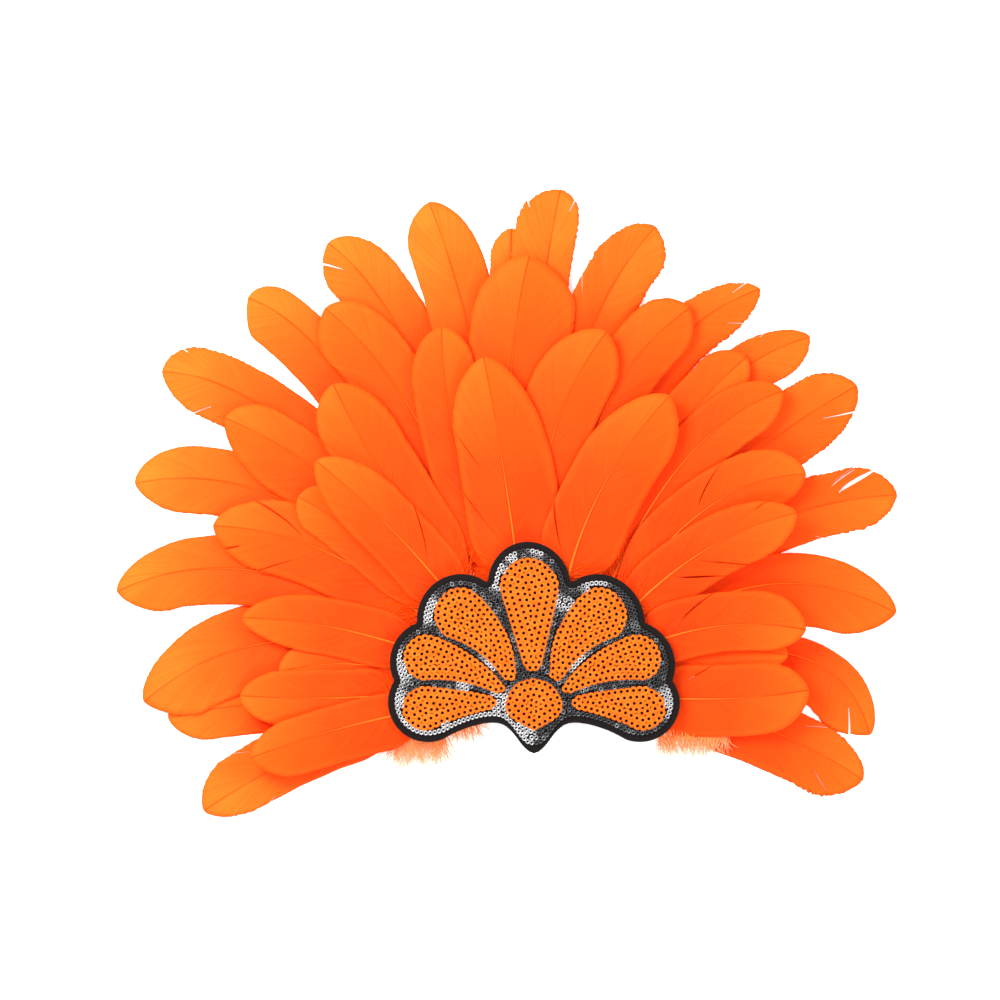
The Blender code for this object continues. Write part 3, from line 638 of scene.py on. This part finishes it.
def vane_edge(feather, side):
    """Shares of the length and half widths at the barbs' ends, evenly spaced along the edge."""
    start = tip_start(feather, side)
    body = np.linspace(VANE_START, start, 80)
    tip = start + (1.0 - start) * np.sin(np.linspace(0.0, math.pi / 2.0, 80))
    shares = np.concatenate((body, tip[1:]))
    widths = half_width(feather, side, shares, 0.0, TIP_POWER)
    steps = np.hypot(np.diff(shares) * feather_length(feather), np.diff(widths))
    travelled = np.concatenate(([0.0], np.cumsum(steps)))
    at = np.linspace(0.0, travelled[-1], int(travelled[-1] / BARB_STEP) + 1)
    return np.interp(at, travelled, shares), np.interp(at, travelled, widths), at


def chosen_splits(name, feather, side, shares):
    """The feather's own splits on this side, and small chance ones: (barb, depth, gap, ends meet)."""
    word = "left" if side > 0 else "right"
    splits = [(int(np.argmin(np.abs(shares - split.at))), split.depth, split.gap, split.ends_meet)
              for split in SPLITS if split.feather == name and split.side == word]
    for _ in range(round(1.8 * feather.worn)):
        at = chance.uniform(0.30, 1.0) ** (0.8 if feather.worn < 0.3 else 0.4)
        depth = chance.uniform(0.10, 0.25 + 0.35 * feather.worn)
        gap = chance.uniform(0.0001, 0.0003 + 0.0010 * feather.worn)
        splits.append((int(np.argmin(np.abs(shares - at))), depth, gap, False))
    return [split for split in splits if 8 < split[0] < len(shares) - 6]


def add_vane(bm, name, feather, lie, side, painted_lightness, layers):
    """One vane: a grid whose rows are barbs, swept to the tip, ragged at the edge and split."""
    edge_shares, widths, travelled = vane_edge(feather, side)
    rows, columns = len(edge_shares), len(BARB_COLUMNS)
    length = feather_length(feather)
    sweep = BARB_SWEEP * 0.5 * feather.width * FEATHER_WIDTH / length
    roots = edge_shares - sweep * smoothstep((edge_shares - VANE_START) / (2.0 * sweep))
    frayed = feather.worn * smoothstep((edge_shares - 0.55) / 0.3)
    ragged = EDGE_RAGGED + (FRAY_RAGGED - EDGE_RAGGED) * frayed
    ragged = ragged * np.array([chance.uniform(-1.0, 0.6) for _ in range(rows)])
    widths = widths * (1.0 + EDGE_WAVE * wander(rows, EDGE_WAVE_LENGTH) + ragged)
    coarse, fine = (wander(rows, length) for length in CLUMP_LENGTHS)
    clumps = RIPPLE * (0.6 * coarse + 0.4 * fine)
    out = np.array(BARB_COLUMNS)
    reach = np.minimum(edge_shares + ragged * 0.05, 1.0)
    shares = roots[:, None] + (reach - roots)[:, None] * out[None, :] ** BARB_BEND
    offsets = widths[:, None] * out[None, :] * side
    lift = 0.5 * VANE_THICKNESS + clumps[:, None] * out[None, :] ** 1.5
    lift += CAMBER * smoothstep(edge_shares / 0.4)[:, None] * (4.0 * out * (1.0 - out))[None, :]
    opened = []
    for barb, depth, gap, ends_meet in chosen_splits(name, feather, side, edge_shares):
        inner = int(np.searchsorted(out, 1.0 - depth))
        wedge = np.clip((out - out[inner]) / max(1.0 - out[inner], 0.01), 0.0, 1.0)
        distance = np.arange(rows) - barb - 0.5
        fade = np.sign(distance) * np.exp(-np.abs(distance) / SPLIT_FADE)
        spread = np.sin(wedge * math.pi) if ends_meet else wedge
        apart = np.where(out >= out[inner], gap * spread - 0.92 * BARB_STEP, 0.0)
        shares += 0.5 * fade[:, None] * apart[None, :] / length
        lift += SPLIT_LIFT * np.maximum(fade, 0.0)[:, None] * wedge[None, :]
        opened += [(barb, column) for column in range(inner, columns - 1)]
    places = lie.points(np.clip(shares, 0.0, 1.0), offsets, lift)
    grid = bmesh.ops.create_grid(bm, x_segments=columns - 1, y_segments=rows - 1, size=1.0)["verts"]
    for index, vert in enumerate(grid):
        row, column = divmod(index, columns)
        vert.co = places[row, column]
        vert[layers["barb"]] = (travelled[row], out[column] * widths[row] * 1.4, side)
        vert[layers["place"]] = (shares[row, column], out[column], painted_lightness)
    gaps = set()
    for row, column in opened:
        corner, opposite = grid[row * columns + column], grid[(row + 1) * columns + column + 1]
        gaps.update(face for face in corner.link_faces if opposite in face.verts)
    bmesh.ops.delete(bm, geom=list(gaps), context="FACES_ONLY")


def add_shaft(bm, feather, lie, layers):
    """The quill and shaft, oval, from its bare end to just short of the tip."""
    shares = np.linspace(0.0, 0.975, 34)
    height = SHAFT_HEIGHT * (1.0 - SHAFT_THINNING * shares)
    centres = lie.points(shares, np.zeros(len(shares)), 0.5 * height)
    widths = 0.5 * SHAFT_WIDTH * (1.0 - 0.93 * shares ** 0.42)
    widths[0] *= 0.6
    widths[-1] = 0.0
    add_tube(bm, centres, widths, 8, 1, 0.8, shares, layers["place"])


def add_down(bm, feather, lie):
    """Loose downy barbs beside the quill, below the vanes."""
    strands = []
    for _ in range(DOWNY_BARBS):
        side = chance.choice((-1, 1))
        start = chance.uniform(0.0, 0.22)
        reach = chance.uniform(*DOWN_REACH) * 0.5 * feather.width * FEATHER_WIDTH
        ahead = chance.uniform(0.03, 0.12)
        curl = chance.uniform(-0.02, 0.02)
        out = np.linspace(0.0, 1.0, 7)
        shares = start + ahead * out ** 1.4 + curl * np.sin(out * math.pi * 1.5)
        offsets = side * reach * out
        centres = lie.points(shares, offsets, DOWN_LIFT + DOWN_LOFT * chance.random() * out)
        strands.append((centres, chance.uniform(*DOWN_RADIUS) * (1.0 - out), 0.4 * out))
    add_strands(bm, strands, 2, 0.3)


def add_feather(name, feather, surfaces):
    lie = Lie(feather, f"feather_{name}")
    bm = bmesh.new()
    layers = {layer: bm.verts.layers.float_vector.new(layer) for layer in ("barb", "place")}
    # Painted light: one vane, chosen at random, is painted paler as if it were turned to the light.
    painted_lit_side = chance.choice((1, -1))
    for side in (1, -1):
        # Painted light: paler tips by tier, with less of it for feathers to the right.
        painted_lightness = TIP_PAINTED_LIGHT[feather.tier] * (1.0 - RIGHT_PAINTED_SHADE * max(feather.tip_x, 0.0))
        painted_lightness += LIT_VANE_PAINTED_LIGHT if side == painted_lit_side else 0.0
        add_vane(bm, name, feather, lie, side, painted_lightness, layers)
    bmesh.ops.recalc_face_normals(bm, faces=bm.faces)
    for face in bm.faces:
        if face.normal.z < 0.0:
            face.normal_flip()
    bmesh.ops.solidify(bm, geom=bm.faces[:], thickness=SHEET_THICKNESS)
    add_shaft(bm, feather, lie, layers)
    add_down(bm, feather, lie)
    add_piece(f"plume_{name}", bm, surfaces, "dyed_feather", [f"feather_{name}"])


def build_feathers():
    surfaces = [feather_look(), shaft_look(), down_look()]
    for tier, rows in TIERS.items():
        for number, row in enumerate(rows, 1):
            add_feather(f"{tier}_{number:02d}", Feather(tier, *row), surfaces)


# Outlines of the patch, its petals and its medallion, as the solids have them

def notch_centre(first, second, notch):
    """Centre of the small circle that rounds the notch between two neighbouring scallops."""
    (x0, y0, r0), (x1, y1, r1) = first, second
    apart = math.hypot(x1 - x0, y1 - y0)
    along = ((r0 + notch) ** 2 - (r1 + notch) ** 2 + apart * apart) / (2.0 * apart)
    off = math.sqrt((r0 + notch) ** 2 - along * along)
    unit = ((x1 - x0) / apart, (y1 - y0) / apart)
    foot = (x0 + along * unit[0], y0 + along * unit[1])
    choices = [(foot[0] - off * unit[1] * side, foot[1] + off * unit[0] * side) for side in (1, -1)]
    return max(choices, key=lambda point: math.hypot(*point))


def arc(centre_x, centre_y, radius, start, end, steps):
    angles = [start + (end - start) * step / steps for step in range(steps + 1)]
    return [(centre_x + radius * math.cos(angle), centre_y + radius * math.sin(angle)) for angle in angles]


def smooth_line(points, steps):
    """A curve through the points, with the given number of steps between two of them."""
    ends = [points[0]] + list(points) + [points[-1]]
    line = []
    for before, start, end, after in zip(ends, ends[1:], ends[2:], ends[3:]):
        for step in range(steps):
            share = step / steps
            line.append(tuple(
                0.5 * (2.0 * s + (e - b) * share + (2.0 * b - 5.0 * s + 4.0 * e - a) * share ** 2
                       + (3.0 * s - 3.0 * e + a - b) * share ** 3)
                for b, s, e, a in zip(before, start, end, after)))
    return line + [tuple(points[-1])]


def leaned(outline):
    """The patch isn't quite even: its upper lobes lean to the left."""
    return [(x - LEAN * max(y, 0.0) * (0.5 + 0.6 * x / PATCH_HALF_WIDTH), y) for x, y in outline]


def mirrored(right_side):
    left_side = [(-x, y) for x, y in reversed(right_side) if abs(x) > 1e-9]
    return leaned(right_side + left_side)


def patch_outline(inset):
    """The patch's scalloped outline, drawn in by the inset."""
    size = PATCH_HALF_WIDTH
    notch = NOTCH_RADIUS + inset
    circles = [(lobe.x * size, lobe.y * size, lobe.radius * size - inset) for lobe in SCALLOPS]
    edge = smooth_line([(x * size, y * size + inset) for x, y in LOWER_EDGE], CURVE_STEPS)
    side = []
    start = math.pi / 2.0
    for circle, following in zip(circles, circles[1:]):
        x, y, radius = circle
        centre = notch_centre(circle, following, notch)
        end = math.atan2(centre[1] - y, centre[0] - x)
        side += arc(x, y, radius, start, end, max(2, round((start - end) / SCALLOP_STEP)))
        into = end + math.pi
        out = math.atan2(following[1] - centre[1], following[0] - centre[0])
        turn = (out - into + math.pi) % (2.0 * math.pi) - math.pi
        side += arc(*centre, notch, into, into + turn, NOTCH_STEPS)[1:-1]
        start = out + math.pi if out < 0.0 else out - math.pi
    x, y, radius = circles[-1]
    end = math.atan2(edge[0][1] - y, edge[0][0] - x)
    side += arc(x, y, radius, start, end, round((start - end) / SCALLOP_STEP))[:-1] + edge
    side.append((0.0, LOWER_POINT[1] * size + POINT_DRAW * inset))
    return mirrored(side)


def swollen_side(start, end, swell, outward):
    points = []
    for step in range(1, CURVE_STEPS):
        share = step / CURVE_STEPS
        out = swell * 4.0 * share * (1.0 - share)
        points.append((start[0] + (end[0] - start[0]) * share + out * math.cos(outward),
                       start[1] + (end[1] - start[1]) * share + out * math.sin(outward)))
    return points


def petal_outline(petal, growth, mirror):
    """A drop: an arc round the head, swelling sides and a small arc round the foot."""
    size = PATCH_HALF_WIDTH
    head = Vector((petal.head_x, petal.head_y)) * size
    foot = Vector((petal.foot_x, petal.foot_y)) * size
    head_radius = petal.head_radius * size + growth
    foot_radius = petal.foot_radius * size + growth
    if foot_radius < 0.0001:
        foot = head + (foot - head) * (head_radius / (head_radius - foot_radius)) * 0.98
        foot_radius = 0.0001
    across = foot - head
    heading = math.atan2(across.y, across.x)
    lean = math.acos(min(1.0, (head_radius - foot_radius) / across.length))
    start = heading + lean + SWELL_TURN * max(petal.lower, 0.0)
    end = heading + 2.0 * math.pi - lean - SWELL_TURN * max(petal.upper, 0.0)
    head_arc = arc(*head, head_radius, start, end, HEAD_STEPS)
    foot_arc = arc(*foot, foot_radius, heading - lean, heading + lean, FOOT_STEPS)
    outline = head_arc
    outline += swollen_side(head_arc[-1], foot_arc[0], petal.upper * size, heading - lean)
    outline += foot_arc
    outline += swollen_side(foot_arc[-1], head_arc[0], petal.lower * size, heading + lean)
    return leaned([(-x, y) for x, y in outline] if mirror else outline)


def medallion_outline(growth):
    size = PATCH_HALF_WIDTH
    middle = MEDALLION_MIDDLE * size
    side = smooth_line([(x * size, y * size) for x, y in MEDALLION + (MEDALLION_POINT,)], CURVE_STEPS)
    grown = []
    for x, y in side:
        distance = math.hypot(x, y - middle)
        scale = (distance + growth) / distance
        grown.append((x * scale, middle + (y - middle) * scale))
    return mirrored(grown)


def inside(point, outline):
    """True where the point lies inside the closed outline."""
    x, y = point
    within = False
    for (x0, y0), (x1, y1) in zip(outline, outline[1:] + outline[:1]):
        if (y0 > y) != (y1 > y) and x < (x1 - x0) * (y - y0) / (y1 - y0) + x0:
            within = not within
    return within


def along_outline(outline, pitch, start=0.0):
    """Evenly spaced points on a closed outline, each with the heading of the outline there."""
    points = np.array(outline + outline[:1])
    steps = np.hypot(*np.diff(points, axis=0).T)
    travelled = np.concatenate(([0.0], np.cumsum(steps)))
    count = max(1, round(travelled[-1] / pitch))
    found = []
    for index in range(count):
        at = travelled[-1] * (index + start) / count
        place = (np.interp(at, travelled, points[:, 0]), np.interp(at, travelled, points[:, 1]))
        segment = min(int(np.searchsorted(travelled, at, side="right")) - 1, len(steps) - 1)
        across = points[segment + 1] - points[segment]
        found.append((place, math.atan2(across[1], across[0])))
    return found


# The sequins

def sequin_mesh(name, profile, steps):
    """A closed ring turned from its profile of (radius, height) corners."""
    bm = bmesh.new()
    verts = [bm.verts.new((radius, 0.0, height)) for radius, height in profile]
    edges = [bm.edges.new((start, end)) for start, end in zip(verts, verts[1:] + verts[:1])]
    bmesh.ops.spin(bm, geom=verts + edges, cent=(0.0, 0.0, 0.0), axis=(0.0, 0.0, 1.0),
                   angle=2.0 * math.pi, steps=steps, use_merge=True)
    bmesh.ops.recalc_face_normals(bm, faces=bm.faces)
    return mesh_from(bm, name)


class PatchPlane:
    """The tipped plane in the middle of the sequin layer, read from the border's solid."""

    def __init__(self):
        corners = corners_of("border_sequins")
        self.slope, self.level = np.polyfit(corners[:, 1], corners[:, 2], 1)
        self.turn = Matrix.Rotation(math.atan(self.slope), 4, "X")

    def place(self, point, heading, tilt, lift):
        """Where a sequin goes: on the plane, leaning back along its row."""
        x, y = point
        return (Matrix.Translation((x, y, self.level + self.slope * y + lift)) @ self.turn
                @ Matrix.Rotation(heading, 4, "Z") @ Matrix.Rotation(tilt, 4, "Y"))


def rows_inside(outline, deepest):
    """Rows of flat sequins in a field, from its edge to its middle; the outline takes a growth."""
    inset = 0.5 * FLAT_ROW
    while inset < deepest:
        yield outline(-inset)
        inset += FLAT_ROW


def fill_gaps(placed, outline, apart, step):
    """Points inside the outline, farthest from the others first, until none is left that far off."""
    corners = np.array(outline)
    xs = np.arange(corners[:, 0].min(), corners[:, 0].max(), step)
    ys = np.arange(corners[:, 1].min(), corners[:, 1].max(), step)
    spots = np.array([(x, y) for x in xs for y in ys if inside((x, y), outline)])
    nearest = np.full(len(spots), np.inf)
    for point in placed:
        nearest = np.minimum(nearest, np.hypot(*(spots - point).T))
    added = []
    while nearest.max() > apart:
        point = spots[int(nearest.argmax())]
        nearest = np.minimum(nearest, np.hypot(*(spots - point).T))
        added.append(tuple(point))
    return added


def sew(name, node, kind, rows, field, plane, surface, template, tone, allowed=lambda point: True):
    """One piece of many sequins: in rows, and single ones where the rows leave a gap."""
    placed = []
    for number, row in enumerate(rows):
        for point, heading in along_outline(row, kind.pitch, kind.shift * (number % 2)):
            if allowed(point) and all(math.dist(point, other[0]) >= kind.closest * kind.pitch
                                      for other in placed):
                placed.append((point, heading, number % 2))
    for point in fill_gaps([other[0] for other in placed], field, kind.hole * kind.pitch, kind.search):
        if allowed(point):
            placed.append((point, chance.uniform(-math.pi, math.pi), -1))
    bm = bmesh.new()
    for point, heading, layer in placed:
        heading += chance.uniform(-kind.turn, kind.turn)
        tilt = kind.tilt * chance.uniform(kind.least, kind.most)
        copy = template.copy()
        copy.transform(plane.place(point, heading, tilt, ROW_LIFT * layer - SINK))
        bm.from_mesh(copy)
        bpy.data.meshes.remove(copy)
    # Each sequin's tone: random for the orange ones, a painted reflection for the cups.
    tones = [tone(point) for point, heading, layer in placed]
    tints = bm.verts.layers.float.new("tint")
    for index, vert in enumerate(bm.verts):
        vert[tints] = tones[index // len(template.vertices)]
    add_piece(name, bm, [surface], kind.slot, [node])


def build_petals(plane):
    surface = flat_sequin_look()
    template = sequin_mesh("flat_sequin", FLAT_PROFILE, 12)

    def sew_field(name, outline, edge, deepest):
        rows = rows_inside(outline, deepest)
        sew(f"{name}_discs", name, FLATS, rows, outline(-edge * FLAT_ROW), plane, surface, template,
            lambda point: chance.random())

    for petal in PETALS:
        for side, mirror in (("right", False), ("left", True)):
            if petal.head_x == 0.0 and mirror:
                continue
            name = petal.name if petal.head_x == 0.0 else f"{petal.name}_{side}"
            deepest = petal.head_radius * PATCH_HALF_WIDTH - CORE
            sew_field(name, lambda growth: petal_outline(petal, growth, mirror), 0.5, deepest)
    sew_field("medallion_sequins", medallion_outline, 0.4, MEDALLION_DEPTH)


def painted_reflection(point):
    """How much reflection is painted on a cup: silver in the runs that face the light, a painted glint on
    a few single cups, dark gunmetal elsewhere.
    """
    x, y = point[0] / PATCH_HALF_WIDTH, point[1] / PATCH_HALF_WIDTH
    nearest = max(1.0 - math.hypot(x - run.x, y - run.y) / run.radius for run in PAINTED_REFLECTION_RUNS)
    return float(smoothstep(2.2 * nearest)) * chance.uniform(0.75, 1.0) + 0.35 * chance.random() ** 5


def border_rows():
    """Closed rows of cup sequins: two along the patch's edge, then round each field."""
    yield patch_outline(FELT_EDGE + CUP_RADIUS)
    yield medallion_outline(0.75 * CUP_RADIUS)
    yield patch_outline(FELT_EDGE + CUP_RADIUS + CUP_ROW)
    for petal in PETALS:
        for mirror in (False, True):
            yield petal_outline(petal, 0.8 * CUP_RADIUS, mirror)
    yield medallion_outline(0.75 * CUP_RADIUS + CUP_ROW)


def build_border(plane):
    """The cups between and round the orange fields."""
    growth = 0.35 * CUP_RADIUS
    fields = [petal_outline(petal, growth, mirror) for petal in PETALS for mirror in (False, True)]
    fields.append(medallion_outline(growth))
    limit = patch_outline(FELT_EDGE + 0.8 * CUP_RADIUS)

    def allowed(point):
        return inside(point, limit) and not any(inside(point, field) for field in fields)

    template = sequin_mesh("cup_sequin", CUP_PROFILE, 10)
    sew("border_cups", "border_sequins", CUPS, border_rows(), limit, plane, cup_sequin_look(),
        template, painted_reflection, allowed)


def curling(x, y, z, turn, curl, reach, out):
    """Points of a strand from x, y: it starts along its turn and curls from it as it goes out."""
    return np.stack((x + reach * out * np.cos(turn + curl * out),
                     y + reach * out * np.sin(turn + curl * out), z), axis=-1)


# The felts


def add_felt(node, outline, level, slope, height, surface):
    """A sheet of felt with rounded edges; its lower face lies at the level, rising with the slope.

    The loose fibres along its edge are a piece of their own, so that the sheet is closed.
    """
    bm = bmesh.new()
    verts = [bm.verts.new((x, y, level + slope * y)) for x, y in outline]
    for start, end in zip(verts, verts[1:] + verts[:1]):
        bm.edges.new((start, end))
    bmesh.ops.triangle_fill(bm, use_beauty=True, use_dissolve=False, edges=bm.edges)
    grown = bmesh.ops.extrude_face_region(bm, geom=bm.faces[:])
    raised = [item for item in grown["geom"] if isinstance(item, bmesh.types.BMVert)]
    bmesh.ops.translate(bm, verts=raised, vec=(0.0, 0.0, height))
    bmesh.ops.recalc_face_normals(bm, faces=bm.faces)
    rims = [edge for edge in bm.edges
            if len(edge.link_faces) == 2 and edge.calc_face_angle(0.0) > math.radians(60)
            and abs(edge.verts[0].co.z - edge.verts[1].co.z) < 0.5 * height]
    bmesh.ops.bevel(bm, geom=rims, offset=FELT_ROUNDING * height, segments=3, profile=0.5,
                    affect="EDGES", material=-1, clamp_overlap=True)
    piece = add_piece(f"{node}_sheet", bm, [surface], "charcoal_felt", [node])
    fuzz = bmesh.new()
    fuzz.verts.layers.float_vector.new("place")
    strands = [fibre(x, y, level + slope * y + height * chance.uniform(0.3, 0.95), heading)
               for (x, y), heading in along_outline(outline, FIBRE_STEP)]
    add_strands(fuzz, strands, 0)
    add_piece(f"{node}_fuzz", fuzz, [surface], "charcoal_felt")


def fibre(x, y, z, heading):
    """One short loose fibre that stands out of a felt's edge."""
    reach = chance.uniform(*FIBRE_REACH)
    turn = heading + math.pi / 2.0 + chance.uniform(-1.1, 1.1)
    curl = chance.uniform(-0.9, 0.9)
    out = np.linspace(0.0, 1.0, 4)
    heights = z + 0.0003 * chance.uniform(-1.0, 1.0) * out
    return curling(x, y, heights, turn, curl, reach, out), FIBRE_RADIUS * (1.0 - out ** 2), out


def build_felts(plane):
    surface = felt_look()
    below = 0.5 * SEQUIN_LAYER + SEAT_GAP + FELT_THICKNESS
    add_felt("patch_felt", patch_outline(0.0), plane.level - below, plane.slope,
             FELT_THICKNESS, surface)
    add_felt("backing_felt", patch_outline(BACKING_INSET), 0.0, 0.0, BACKING_THICKNESS, surface)


# Down that hangs out below the patch, left and right
Fringe = namedtuple("Fringe", "from_x from_y to_x to_y count length heading height")
FRINGE_RADIUS = 0.00026
FRINGE_SCATTER = 13.0      # of the strands' headings, in degrees
FLOOR_CLEAR = 0.0008       # how near the floor the ends may hang
FRINGES = (
    Fringe(-0.070, -0.019, -0.044, -0.018, 340, 0.0190, -94, 0.0045),
    Fringe(-0.050, -0.015, -0.028, -0.012, 150, 0.0115, -66, 0.0035),
    Fringe(0.062, -0.019, 0.096, -0.018, 340, 0.0125, -88, 0.0045),
)


def build_fringes():
    """Long pale down from the quills' lower ends, loose over the floor."""
    strands = []
    for fringe in FRINGES:
        for _ in range(fringe.count):
            share = chance.random()
            x = fringe.from_x + (fringe.to_x - fringe.from_x) * share
            y = fringe.from_y + (fringe.to_y - fringe.from_y) * share + chance.uniform(0.0, 0.005)
            turn = math.radians(fringe.heading + chance.gauss(0.0, FRINGE_SCATTER))
            curl = chance.uniform(-0.5, 0.5)
            reach = fringe.length * chance.uniform(0.45, 1.15)
            out = np.linspace(0.0, 1.0, 8)
            z = fringe.height + 0.001 * chance.uniform(-1.0, 1.0)
            heights = z - (z - FLOOR_CLEAR) * 0.7 * out ** 2
            centres = curling(x, y, heights, turn, curl, reach, out)
            strands.append((centres, FRINGE_RADIUS * (1.0 - out ** 2.5), 0.5 + 0.5 * out))
    bm = bmesh.new()
    bm.verts.layers.float_vector.new("place")
    add_strands(bm, strands, 0)
    add_piece("loose_down", bm, [down_look()], "dyed_feather")


# The studio
LIT_POINT = (0.0, 0.08, 0.01)
CAMERA_PLACE = (-0.017, 0.100, 1.2)
PICTURE_WIDTH = 0.5

def add_softbox(name, place, size, watts):
    data = bpy.data.lights.new(name, "AREA")
    data.shape = "RECTANGLE"
    data.size, data.size_y = size
    data.energy = watts
    light = add_object(name, data)
    light.location = place
    light.rotation_euler = (Vector(LIT_POINT) - Vector(place)).to_track_quat("-Z", "Y").to_euler()


def build_studio():
    bm = bmesh.new()
    bmesh.ops.create_grid(bm, x_segments=1, y_segments=1, size=2.0)
    mesh = mesh_from(bm, "floor")
    mesh.materials.append(floor_look())
    add_object("floor", mesh)

    world = bpy.data.worlds.new("studio")
    world.use_nodes = True
    sky = world.node_tree.nodes["Background"].inputs
    sky["Color"].default_value = (1.0, 1.0, 1.0, 1.0)
    sky["Strength"].default_value = 0.70
    bpy.context.scene.world = world
    add_softbox("key", (-0.50, 0.50, 0.75), (0.5, 0.5), 10.5)
    add_softbox("fill", (0.75, 0.35, 0.85), (0.6, 0.6), 3.5)
    add_softbox("front", (0.10, -0.75, 0.80), (0.8, 0.4), 5.0)


def build_camera():
    data = bpy.data.cameras.new("overhead")
    data.type = "ORTHO"
    data.ortho_scale = PICTURE_WIDTH
    camera = add_object("overhead", data)
    camera.location = CAMERA_PLACE
    bpy.context.scene.camera = camera
    bpy.context.scene.view_settings.view_transform = "Standard"


build_camera()
build_studio()
build_feathers()
patch_plane = PatchPlane()
build_felts(patch_plane)
build_petals(patch_plane)
build_border(patch_plane)
build_fringes()
